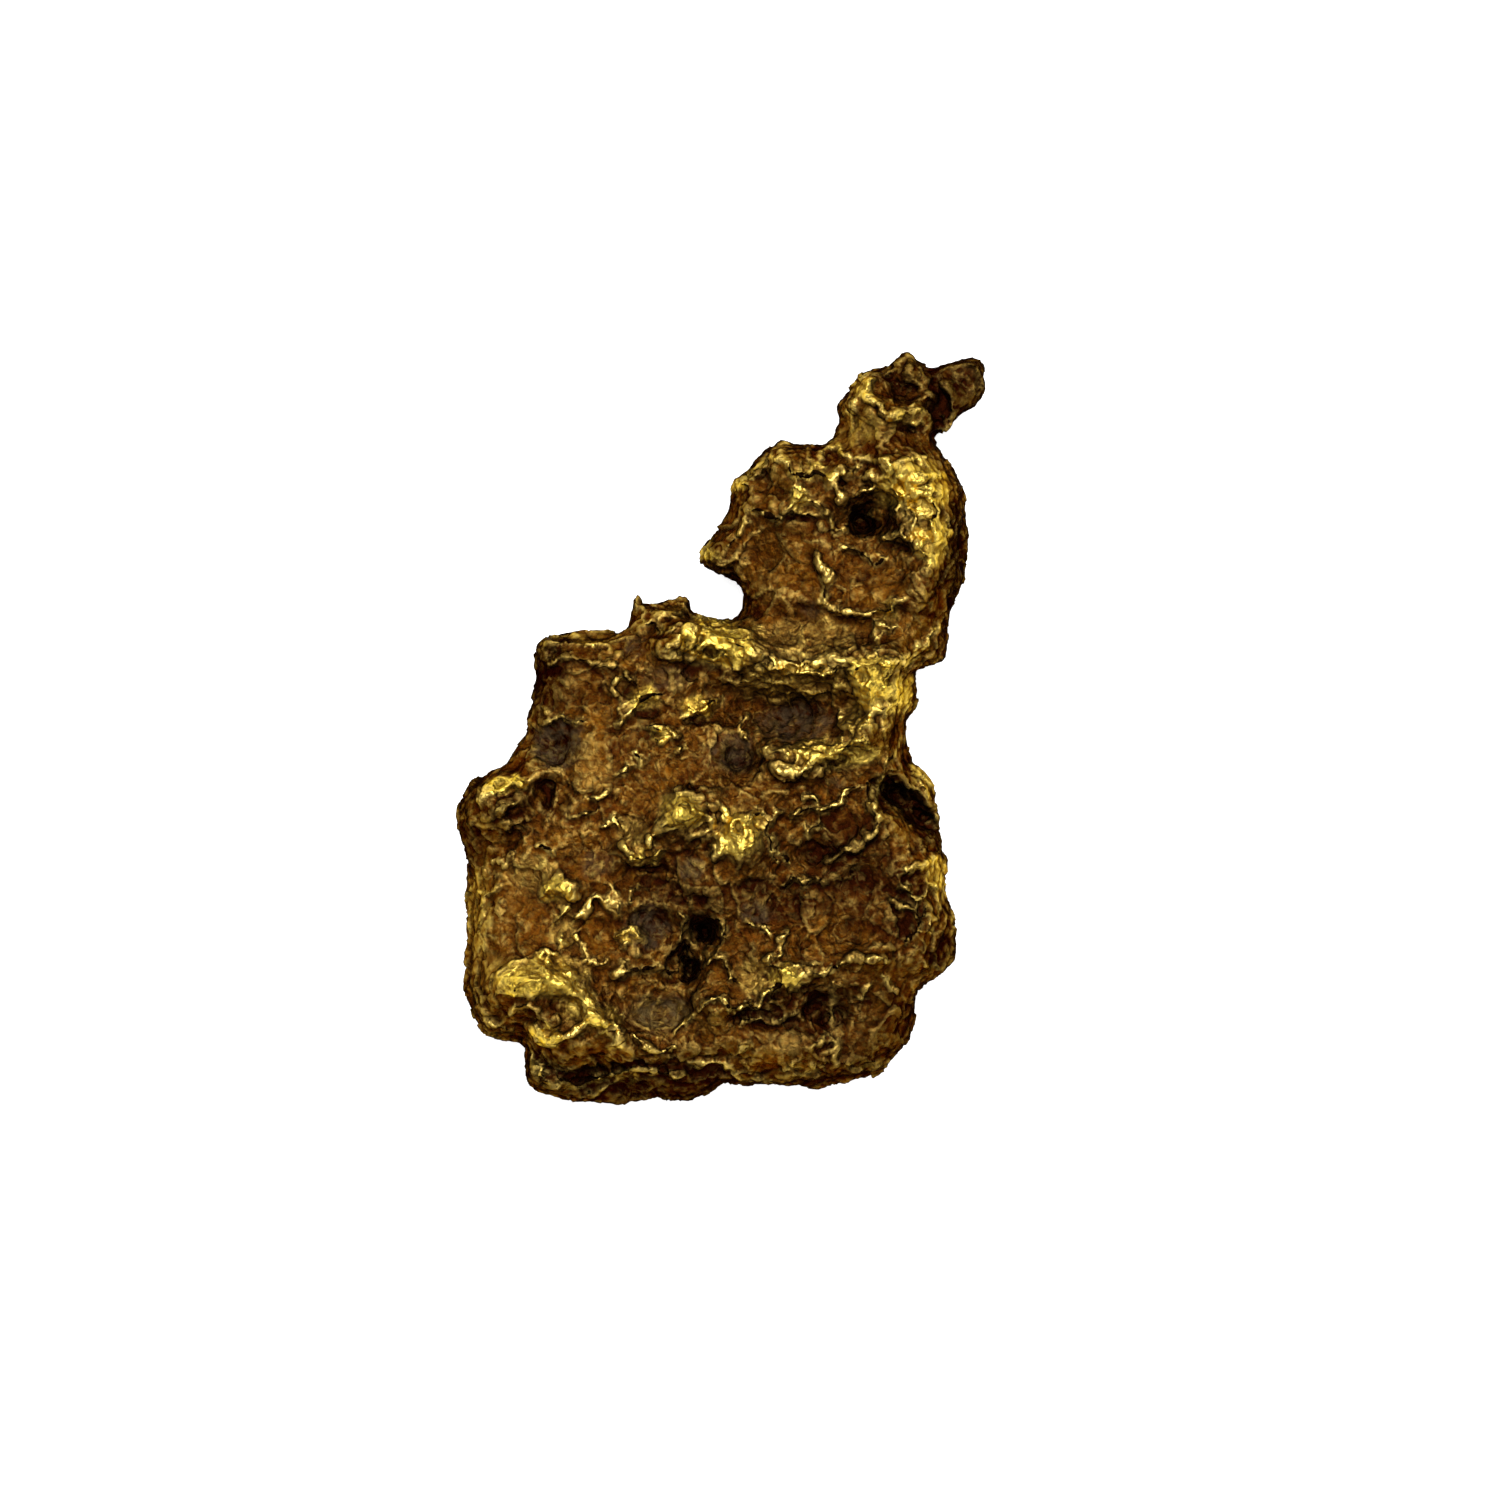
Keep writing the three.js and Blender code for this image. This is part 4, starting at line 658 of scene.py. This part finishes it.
LAYER_STEP = Vector((7.3, 3.1, 5.7))
MIDDLE = np.array((0.06, 0.03))
WANDER = 0.22
WANDER_PITCH = 0.6
JITTER = 0.05
JITTER_PITCH = 0.22
CHIP = 0.22
CHIP_PITCH = 0.4
CHIP_SEED = 71.0
GAUGE_SPREAD = 0.5
GAUGE_PITCH = 0.45
RELIEF_FACING = (0.1, 0.6)
CREST_LIFT = 1.15
CREST_SHARPNESS = 1.3
BEAD = 0.5
BEAD_PITCH = 0.55
UNDERCUT = 0.35
UNDERCUT_REACH = 1.2
UNDERCUT_SIDE = np.array((0.0, 0.3))
PIT_FALL = 0.45

points = places(skin)
upward = ramp(*RELIEF_FACING, facings(skin)[:, 2])
plan = plan_of(points)
gauge = gauge_of(points)
beads = CREST_LIFT * (1 + BEAD * noise_at(points, BEAD_PITCH, layer=9))
lift = np.zeros(len(points))
for near, share, height, _ in strokes_on(plan, CRESTS, gauge):
    lift[near] = np.maximum(lift[near], height * beads[near] * share**CREST_SHARPNESS)
trench = np.zeros(len(points))
for near, share, height, _ in strokes_on(plan + UNDERCUT_SIDE, CRESTS, UNDERCUT_REACH * gauge):
    trench[near] = np.maximum(trench[near], UNDERCUT * height * ramp(0.0, 1.0, share))
lift -= trench
for near, share, depth, _ in strokes_on(plan, GROOVES, gauge):
    lift[near] -= depth * ramp(0.0, 1.0, share)
for _, at, reach, depth, _ in PITS:
    lift -= PIT_FALL * depth * spot_share(plan, at, reach)
for _, at, reach, height in SWELLS:
    lift += height * spot_share(plan, at, reach)
points[:, 2] += upward * lift
for _, at, reach, push in TIPS:
    points[:, :2] += spot_share(plan, at, reach)[:, None] * push
place(skin, points)
skin = even_skin(skin, SKIN_PITCH)

# The crinkles: leaning plates and folds like those of crumpled foil, over low lumps, with a fine tooth
FOLD_PITCH = 1.5
FOLD_HEIGHT = 0.12
FOLD_MIDDLE = 1.0
FOLD_OCTAVES = 4
FOLD_FALL = 0.9
FOLD_STEP = 2.1
FOLD_OFFSET = 1.0
FOLD_GAIN = 2.0
PLATE_SIZES = ((1.3, 0.07), (0.6, 0.03))
LEAN_SEED = 97.0
HEIGHT_SEED = 53.0
EVENING = 0.5
PORE_PITCH = 0.68
PORE_WANDER = 0.25
PORE_DEPTH = 0.24
PORE_WALL = (0.12, 0.4)
SPONGE_EDGE = (0.0, 0.4)
SWIRL_PITCH = 0.9
FOLD_SWIRL = 0.35
PLATE_SWIRL = 0.2
TOOTH_PITCH = 0.3
TOOTH = 0.03
LUMP_PITCH = 1.7
LUMP = 0.12
FACE_FACING = (0.3, 0.8)
FACE_CALM = 0.45
CLEAN_CALM = 0.6
CRISPNESS = 0.45
CRISP_ROUNDS = 5
CRISP_MOST = 0.05


def folds_at(points, pitch):
    ridges = noise.ridged_multi_fractal
    shape = (FOLD_FALL, FOLD_STEP, FOLD_OCTAVES, FOLD_OFFSET, FOLD_GAIN)
    return np.array([ridges(Vector(p) / pitch, *shape) for p in points.tolist()])


def plates_at(points, pitch):
    """The skin broken into angular plates: each has a height of its own and leans its own way."""
    heights = []
    for p in points.tolist():
        spot = Vector(p) / pitch
        middle = noise.voronoi(spot)[1][0]
        lean = 2 * noise.cell_vector(middle * LEAN_SEED) - Vector((1, 1, 1))
        heights.append(noise.cell(middle * HEIGHT_SEED) - 0.5 + lean.dot(spot - middle))
    return np.array(heights)


def averaged(values, edges, rounds):
    count = np.bincount(edges.ravel(), minlength=len(values))[:, None]
    start, end = edges.T
    for _ in range(rounds):
        total = [
            np.bincount(start, column[end], len(values)) + np.bincount(end, column[start], len(values))
            for column in values.T
        ]
        values = (1 - EVENING) * values + EVENING * np.stack(total, axis=1) / count
    return values


def bulge(mesh, rounds):
    """How far each vertex stands out of the skin around it, in millimetres."""
    edges = np.empty(len(mesh.edges) * 2, dtype=np.int32)
    mesh.edges.foreach_get("vertices", edges)
    points = places(mesh)
    return ((points - averaged(points, edges.reshape(-1, 2), rounds)) * facings(mesh)).sum(axis=1)


def sponge_of(points):
    """How spongy the metal is at each vertex, and how far inside one of its pores the vertex lies."""
    spongy = np.zeros(len(points))
    for _, kind, at, reach, strength in PATCHES:
        if kind == "spongy":
            share = strength * ramp(*SPONGE_EDGE, spot_share(points[:, :2] + MIDDLE, at, reach))
            spongy = np.maximum(spongy, share)
    inside = np.zeros(len(points))
    near = np.nonzero(spongy)[0]
    flat = points[near] * (1, 1, 0)
    flat[:, :2] += PORE_WANDER * np.stack([noise_at(flat, PORE_PITCH, layer) for layer in (13, 14)], axis=1)
    for index, spot in zip(near.tolist(), flat.tolist()):
        nearest, second = noise.voronoi(Vector(spot) / PORE_PITCH)[0][:2]
        inside[index] = second - nearest
    return spongy, ramp(*PORE_WALL, inside)


points = places(skin)
normals = facings(skin)
swirl = np.stack([noise_at(points, SWIRL_PITCH, layer) for layer in (3, 4, 5)], axis=1)
height = FOLD_HEIGHT * (folds_at(points + FOLD_SWIRL * swirl, FOLD_PITCH) - FOLD_MIDDLE)
height += LUMP * noise_at(points, LUMP_PITCH, layer=6)
upward = ramp(*FACE_FACING, normals[:, 2])
height *= 1 - FACE_CALM * upward
for pitch, step in PLATE_SIZES:
    height += step * plates_at(points + PLATE_SWIRL * swirl, pitch)
height += TOOTH * noise_at(points, TOOTH_PITCH, layer=7)
for _, kind, at, reach, strength in PATCHES:
    if kind in ("clean_and_painted_light", "orange"):
        height *= 1 - CLEAN_CALM * strength * upward * spot_share(points[:, :2], at, reach)
spongy, inside = sponge_of(points)
height -= PORE_DEPTH * upward * spongy * inside
place(skin, points + normals * height[:, None])
crisp = CRISPNESS * np.clip(bulge(skin, CRISP_ROUNDS), -CRISP_MOST, CRISP_MOST)
points = places(skin) + facings(skin) * crisp[:, None]
points[:, 2] = np.maximum(points[:, 2], 0)
place(skin, points)

# The finished mesh, thinned where it is smooth
MOST_TRIANGLES = 190000
BACK_THINNING = 0.06

skin = with_modifier(skin, "TRIANGULATE")
face = facings(skin)[:, 2] > 0
ratio = MOST_TRIANGLES / len(skin.polygons)
skin = with_modifier(skin, "DECIMATE", spared=face, ratio=ratio, vertex_group_factor=BACK_THINNING)

# The finish: where the metal is worn bright, stained, rusty or filmed, and where painted shade and painted
# light are laid on, kept as attributes of the skin
FINISH_FACING = (-0.2, 0.3)
RIM_FACING = (0.1, 0.7)
FINE_ROUNDS = 4
FINE_BULGE = 0.03
BROAD_ROUNDS = 40
BROAD_BULGE = 0.14
MOTTLE_PITCH = 1.1
WORN_BULGE = (-0.2, 0.7)
WORN_SHINE = 0.3
CREST_REACH = 1.1
CREST_SHINE = (0.35, 0.85)
FINE_SHINE = 0.4
MOTTLE_SHINE = 0.3
PORE_SHINE = 0.55
HOLLOW_STAIN = 0.4
CREASE_STAIN = 0.3
PIT_REACH = 1.25
PIT_STAIN_AND_SHADE = 0.5
PIT_FLOOR = (0.2, 0.7)
GROOVE_REACH = 1.2
GROOVE_STAIN_AND_SHADE = 0.8
GROOVE_FLOOR = (0.0, 0.8)
PATCH_REACH = 1.15
PATCH_EDGE = (0.0, 0.5)
CLEAN_SHINE = 0.66
CLEAN_FINE_SHINE = 0.5
CLEAN_MOTTLE_SHINE = 0.2
CLEAN_RIM = 0.8
CLEAN_STAIN_LOSS = 0.85
CLEAN_PIT_SHADE = 0.9
DARK_STAIN_AND_SHADE = 0.8
DARK_SHINE_LOSS = 0.7
RIM_PAINTED_SHADE = 0.8
RIM_SHINE_LOSS = 0.6
PIT_SHINE_LOSS = 0.9
BACK_RUST = (-0.1, 0.5)
BACK_FILM = (0.15, 0.6)
BACK_FILM_MOST = 0.3

points = places(skin)
plan = plan_of(points)
rise = facings(skin)[:, 2]
upward = ramp(*FINISH_FACING, rise)
fine_bulge = np.clip(bulge(skin, FINE_ROUNDS) / FINE_BULGE, -1, 1)
broad_bulge = np.clip(bulge(skin, BROAD_ROUNDS) / BROAD_BULGE, -1, 1)
mottle = noise_at(points, MOTTLE_PITCH, layer=8)

worn = np.maximum(fine_bulge, 0) * ramp(*WORN_BULGE, broad_bulge)
shine = np.zeros(len(points))
gauge = gauge_of(points)
for near, share, _, bright in strokes_on(plan, CRESTS, CREST_REACH * gauge):
    shine[near] = np.maximum(shine[near], bright * ramp(*CREST_SHINE, share))
shine *= 1.0 + FINE_SHINE * fine_bulge + MOTTLE_SHINE * mottle

# Hollows and creases keep iron stain; the pits, grooves, dark patches and side faces added below bring
# painted shade into the same mask.
stain_and_painted_shade = HOLLOW_STAIN * np.maximum(-broad_bulge, 0) + CREASE_STAIN * np.maximum(-fine_bulge, 0)
# The pits and grooves darken the mask with iron stain together with painted shade.
pitted = np.zeros(len(points))
for _, at, reach, _, dark in PITS:
    share = upward * dark * spot_share(plan, at, np.array(reach) * PIT_REACH)
    stain_and_painted_shade += PIT_STAIN_AND_SHADE * share
    pitted = np.maximum(pitted, ramp(*PIT_FLOOR, share))
for near, share, _, dark in strokes_on(plan, GROOVES, GROOVE_REACH * gauge):
    stain_and_painted_shade[near] += GROOVE_STAIN_AND_SHADE * (upward * dark)[near] * ramp(*GROOVE_FLOOR, share)

spongy, inside = sponge_of(points)
pitted = np.maximum(pitted, upward * spongy * inside)
shine += PORE_SHINE * spongy * (1 - inside)


def patches_of(wanted):
    """How strongly the patches of one kind mark each vertex."""
    marked = np.zeros(len(points))
    for _, kind, at, reach, strength in PATCHES:
        if kind == wanted:
            share = ramp(*PATCH_EDGE, spot_share(plan, at, np.array(reach) * PATCH_REACH))
            marked = np.maximum(marked, upward * strength * share)
    return marked


# Clean worn metal, with painted light where a few clean patches lift shade
clean_and_painted_light = patches_of("clean_and_painted_light")
dark = patches_of("dark")
shine += clean_and_painted_light * (CLEAN_SHINE + CLEAN_FINE_SHINE * fine_bulge + CLEAN_MOTTLE_SHINE * mottle)
# Painted shade: faces that turn to the side are darkened, so that they stay dark against the light they
# take from the pale floor.
rim = (1 - ramp(*RIM_FACING, rise)) * (1 - CLEAN_RIM * clean_and_painted_light)
polish_and_painted_light = WORN_SHINE * worn + upward * shine
polish_and_painted_light *= (1 - DARK_SHINE_LOSS * dark) * (1 - RIM_SHINE_LOSS * rim) * (1 - PIT_SHINE_LOSS * pitted)
stain_and_painted_shade *= 1 - CLEAN_STAIN_LOSS * clean_and_painted_light
# Painted shade: the floors of pits and pores in bright metal and the side faces are darkened; the dark
# patches bring dark stain with painted shade.
stain_and_painted_shade += CLEAN_PIT_SHADE * np.maximum(clean_and_painted_light, spongy) * pitted + DARK_STAIN_AND_SHADE * dark + RIM_PAINTED_SHADE * rim
elsewhere = 1 - upward
# Rusty metal, with painted light where one rusty patch lifts the shaded neck
rust_and_painted_light = np.maximum(patches_of("orange"), elsewhere * ramp(*BACK_RUST, mottle))
film = np.maximum(patches_of("grey"), elsewhere * BACK_FILM_MOST * ramp(*BACK_FILM, -mottle))

skin.transform(Matrix.Scale(MM, 4))
finish = {
    "polish_and_painted_light": np.clip(polish_and_painted_light, 0, 1),
    "stain_and_painted_shade": np.clip(stain_and_painted_shade, 0, 1),
    "film": film,
    "rust_and_painted_light": rust_and_painted_light,
    "side_painted_shade": rim,
    "clean_and_painted_light": clean_and_painted_light,
}
for name, values in finish.items():
    skin.attributes.new(name, "FLOAT", "POINT").data.foreach_set("value", values.astype(np.float32))
skin.shade_smooth()
skin.name = "gold_nugget"

nugget = bpy.data.objects.new("gold_nugget", skin)
bpy.context.scene.collection.objects.link(nugget)

# Native gold: warm metal, browned by iron in its hollows, bright yellow where it is worn, with painted
# shade in its pits, shaded spots and on its sides
BRIGHT_GOLD = (0.84, 0.58, 0.085, 1)
CREST_GOLD = (0.84, 0.59, 0.14, 1)
DULL_GOLD = (0.092, 0.025, 0.0029, 1)
RUSTY_GOLD = (0.165, 0.0555, 0.0036, 1)
WARM_GOLD = (0.23, 0.12, 0.014, 1)
# The painted shade colour for the side faces
SIDE_PAINTED_SHADE = (0.006, 0.0026, 0.0008, 1)
CLAY_FILM = (0.082, 0.053, 0.026, 1)
IRON_STAIN_AND_SHADE = (0.022, 0.004, 0.0008, 1)
EDGE_TINT = (0.2, 0.11, 0.03, 1)
FACET_TILT = 0.15
WORN_FACET_TILT = 0.06
CREASE_BUMP = 0.45
BUMP_HEIGHT = 0.1 * MM

# The metal's patterns: how many of each fit in a metre
CRUMPLE_SCALE = 2200
CRUMPLE_REACH = 0.5 * MM
SPECK_SCALE = 2600
BLOTCH_SCALE = 700
FACET_SCALE = 2300
SMALL_FACET_SCALE = 5200
GLINT_SCALE = 6000
TOOTH_SCALE = 6000
VEIN_SCALE = 1300
POCK_SCALE = 3400


def add_node(tree, kind, **settings):
    made = tree.nodes.new(kind)
    for name, value in settings.items():
        setattr(made, name, value)
    return made


def mixed(tree, share, first, second):
    mix = add_node(tree, "ShaderNodeMix", data_type="RGBA")
    tree.links.new(share, mix.inputs["Factor"])
    for socket, value in (("A", first), ("B", second)):
        target = next(s for s in mix.inputs if s.name == socket and s.type == "RGBA")
        if isinstance(value, tuple):
            target.default_value = value
        else:
            tree.links.new(value, target)
    return next(s for s in mix.outputs if s.type == "RGBA")


def attribute(tree, name):
    return add_node(tree, "ShaderNodeAttribute", attribute_name=name).outputs["Fac"]


def sum_of(tree, first, factor, second):
    total = add_node(tree, "ShaderNodeMath", operation="MULTIPLY_ADD", use_clamp=True)
    tree.links.new(first, total.inputs[0])
    total.inputs[1].default_value = factor
    if isinstance(second, float):
        total.inputs[2].default_value = second
    else:
        tree.links.new(second, total.inputs[2])
    return total.outputs[0]


def grain(tree, coordinates, scale, detail, roughness):
    made = add_node(tree, "ShaderNodeTexNoise")
    made.inputs["Scale"].default_value = scale
    made.inputs["Detail"].default_value = detail
    made.inputs["Roughness"].default_value = roughness
    tree.links.new(coordinates, made.inputs["Vector"])
    return made.outputs["Fac"]


def stretched(tree, value, low, high, to_low=0.0, to_high=1.0):
    made = add_node(tree, "ShaderNodeMapRange", clamp=True)
    tree.links.new(value, made.inputs["Value"])
    for name, number in (("From Min", low), ("From Max", high), ("To Min", to_low), ("To Max", to_high)):
        made.inputs[name].default_value = number
    return made.outputs["Result"]


def grains(tree, coordinates, scale, feature):
    made = add_node(tree, "ShaderNodeTexVoronoi", feature=feature)
    made.inputs["Scale"].default_value = scale
    tree.links.new(coordinates, made.inputs["Vector"])
    return made


def vector_math(tree, operation, first, second, scale=None):
    made = add_node(tree, "ShaderNodeVectorMath", operation=operation)
    tree.links.new(first, made.inputs[0])
    if isinstance(second, tuple):
        made.inputs[1].default_value = second
    elif second is not None:
        tree.links.new(second, made.inputs[1])
    if isinstance(scale, float):
        made.inputs["Scale"].default_value = scale
    elif scale is not None:
        tree.links.new(scale, made.inputs["Scale"])
    return made.outputs["Vector"]


def astray(tree, coordinates, scale, reach):
    swirl = add_node(tree, "ShaderNodeTexNoise")
    swirl.inputs["Scale"].default_value = scale
    swirl.inputs["Detail"].default_value = 3
    tree.links.new(coordinates, swirl.inputs["Vector"])
    centred = vector_math(tree, "SUBTRACT", swirl.outputs["Color"], (0.5, 0.5, 0.5))
    return vector_math(tree, "ADD", coordinates, vector_math(tree, "SCALE", centred, None, reach))


def product(tree, first, second):
    made = add_node(tree, "ShaderNodeMath", operation="MULTIPLY")
    tree.links.new(first, made.inputs[0])
    tree.links.new(second, made.inputs[1])
    return made.outputs[0]


def native_gold():
    material = bpy.data.materials.new("native_gold")
    material.use_nodes = True
    tree = material.node_tree
    shader = tree.nodes["Principled BSDF"]
    shader.inputs["Metallic"].default_value = 1
    shader.inputs["Specular Tint"].default_value = EDGE_TINT
    coordinates = add_node(tree, "ShaderNodeTexCoord").outputs["Object"]
    crumpled = astray(tree, coordinates, CRUMPLE_SCALE, CRUMPLE_REACH)
    speck = grain(tree, coordinates, SPECK_SCALE, 6, 0.65)
    blotch = grain(tree, coordinates, BLOTCH_SCALE, 4, 0.6)
    edge = grains(tree, crumpled, FACET_SCALE, "DISTANCE_TO_EDGE").outputs["Distance"]
    facet = grains(tree, crumpled, FACET_SCALE, "F1").outputs["Color"]
    small_facet = grains(tree, crumpled, SMALL_FACET_SCALE, "F1").outputs["Color"]
    crack = product(tree, stretched(tree, edge, 0.02, 0.14, 1.0, 0.0), stretched(tree, blotch, 0.42, 0.6))

    colour = mixed(tree, stretched(tree, blotch, 0.35, 0.65), DULL_GOLD, RUSTY_GOLD)
    colour = mixed(tree, attribute(tree, "rust_and_painted_light"), colour, RUSTY_GOLD)
    glint = grain(tree, coordinates, GLINT_SCALE, 5, 0.7)
    colour = mixed(tree, stretched(tree, glint, 0.5, 0.66, 0.0, 0.7), colour, WARM_GOLD)
    colour = mixed(tree, stretched(tree, speck, 0.37, 0.52, 0.75, 0.0), colour, IRON_STAIN_AND_SHADE)
    # Iron stain with painted shade from the pits, grooves, dark patches and side faces
    colour = mixed(tree, attribute(tree, "stain_and_painted_shade"), colour, IRON_STAIN_AND_SHADE)
    film_share = product(tree, attribute(tree, "film"), stretched(tree, speck, 0.4, 0.56))
    colour = mixed(tree, film_share, colour, CLAY_FILM)
    fleck = product(tree, stretched(tree, small_facet, 0.6, 0.9), stretched(tree, blotch, 0.4, 0.65))
    vein_edge = grains(tree, crumpled, VEIN_SCALE, "DISTANCE_TO_EDGE").outputs["Distance"]
    vein = stretched(tree, vein_edge, 0.015, 0.07, 1.0, 0.0)
    vein = product(tree, vein, stretched(tree, blotch, 0.46, 0.58))
    bright = sum_of(tree, vein, 0.06, sum_of(tree, fleck, 0.1, attribute(tree, "polish_and_painted_light")))
    metal = mixed(tree, attribute(tree, "clean_and_painted_light"), CREST_GOLD, BRIGHT_GOLD)
    colour = mixed(tree, bright, colour, metal)
    pock = stretched(tree, grain(tree, crumpled, POCK_SCALE, 3, 0.6), 0.34, 0.42, 0.6, 0.0)
    colour = mixed(tree, pock, colour, IRON_STAIN_AND_SHADE)
    unworn = stretched(tree, bright, 0.0, 0.7, 1.0, 0.15)
    colour = mixed(tree, product(tree, sum_of(tree, crack, 0.6, 0.0), unworn), colour, IRON_STAIN_AND_SHADE)
    # Painted shade: the side faces are mixed towards near black.
    colour = mixed(tree, sum_of(tree, attribute(tree, "side_painted_shade"), 0.85, 0.0), colour, SIDE_PAINTED_SHADE)
    tree.links.new(colour, shader.inputs["Base Color"])
    dullness = sum_of(tree, film_share, 0.25, sum_of(tree, bright, -0.18, 0.5))
    tree.links.new(dullness, shader.inputs["Roughness"])

    tooth = add_node(tree, "ShaderNodeBump")
    tree.links.new(stretched(tree, bright, 0.0, 0.8, 0.8, 0.3), tooth.inputs["Strength"])
    tooth.inputs["Distance"].default_value = BUMP_HEIGHT
    tree.links.new(grain(tree, coordinates, TOOTH_SCALE, 5, 0.65), tooth.inputs["Height"])
    creases = add_node(tree, "ShaderNodeBump")
    creases.inputs["Strength"].default_value = CREASE_BUMP
    creases.inputs["Distance"].default_value = BUMP_HEIGHT
    raised = sum_of(tree, vein, 0.15, stretched(tree, edge, 0.0, 0.3, 0.0, 0.8))
    tree.links.new(raised, creases.inputs["Height"])
    tree.links.new(tooth.outputs["Normal"], creases.inputs["Normal"])
    tilt = vector_math(tree, "ADD", facet, small_facet)
    leaning = stretched(tree, bright, 0.0, 0.8, FACET_TILT, WORN_FACET_TILT)
    tilt = vector_math(tree, "SCALE", vector_math(tree, "SUBTRACT", tilt, (1, 1, 1)), None, leaning)
    tilted = vector_math(tree, "ADD", creases.outputs["Normal"], tilt)
    tree.links.new(vector_math(tree, "NORMALIZE", tilted, None), shader.inputs["Normal"])
    return material


skin.materials.clear()
skin.materials.append(native_gold())
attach(nugget, "root")
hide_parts(NUGGET)

# The floor
# A plain pale sheet of matt card under the nugget.
# It glows a little, as a sheet lit from below does, so that the nugget casts hardly any shadow on it.
FLOOR_SIZE = 0.8
FLOOR_WHITE = (0.85, 0.85, 0.85, 1)
FLOOR_ROUGHNESS = 0.9
FLOOR_GLOW = 0.95

sheet = bmesh.new()
bmesh.ops.create_grid(sheet, x_segments=1, y_segments=1, size=FLOOR_SIZE / 2)
floor_mesh = bpy.data.meshes.new("floor")
sheet.to_mesh(floor_mesh)
sheet.free()
pale = bpy.data.materials.new("pale_floor")
pale.use_nodes = True
pale_shader = pale.node_tree.nodes["Principled BSDF"]
pale_shader.inputs["Base Color"].default_value = FLOOR_WHITE
pale_shader.inputs["Roughness"].default_value = FLOOR_ROUGHNESS
pale_shader.inputs["Emission Color"].default_value = FLOOR_WHITE
pale_shader.inputs["Emission Strength"].default_value = FLOOR_GLOW
floor_mesh.materials.append(pale)
floor = bpy.data.objects.new("floor", floor_mesh)
bpy.context.scene.collection.objects.link(floor)

# Light and camera
# A soft box stands beyond the crown and a weak one behind the foot, in a dim room.
# The camera looks straight down through a long lens.
ROOM_LIGHT = 0.2
ROOM_WHITE = (1, 0.98, 0.95, 1)
KEY_PLACE = (0.02, 0.17, 0.36)
KEY_SIZE = 0.34
KEY_POWER = 2.7
FILL_PLACE = (-0.05, -0.2, 0.34)
FILL_SIZE = 0.3
FILL_POWER = 0.4
FRAME_WIDTH = 60.48 * MM
FRAME_MIDDLE = (1.3, -1.15)
LENS = 200
SENSOR = 36
GIRTH_HEIGHT = 2.3

world = bpy.data.worlds.new("dim_room")
world.use_nodes = True
world.node_tree.nodes["Background"].inputs["Color"].default_value = ROOM_WHITE
world.node_tree.nodes["Background"].inputs["Strength"].default_value = ROOM_LIGHT
bpy.context.scene.world = world


def soft_box(name, at, size, power):
    data = bpy.data.lights.new(name, "AREA")
    data.size = size
    data.energy = power
    light = bpy.data.objects.new(name, data)
    light.location = at
    light.rotation_euler = (-Vector(at)).to_track_quat("-Z", "Y").to_euler()
    bpy.context.scene.collection.objects.link(light)


soft_box("key", KEY_PLACE, KEY_SIZE, KEY_POWER)
soft_box("fill", FILL_PLACE, FILL_SIZE, FILL_POWER)

camera_data = bpy.data.cameras.new("camera")
camera_data.lens = LENS
camera_data.sensor_width = SENSOR
camera = bpy.data.objects.new("camera", camera_data)
camera.location = (
    FRAME_MIDDLE[0] * MM,
    FRAME_MIDDLE[1] * MM,
    GIRTH_HEIGHT * MM + FRAME_WIDTH * LENS / SENSOR,
)
bpy.context.scene.collection.objects.link(camera)
bpy.context.scene.camera = camera
bpy.context.scene.view_settings.view_transform = "Standard"
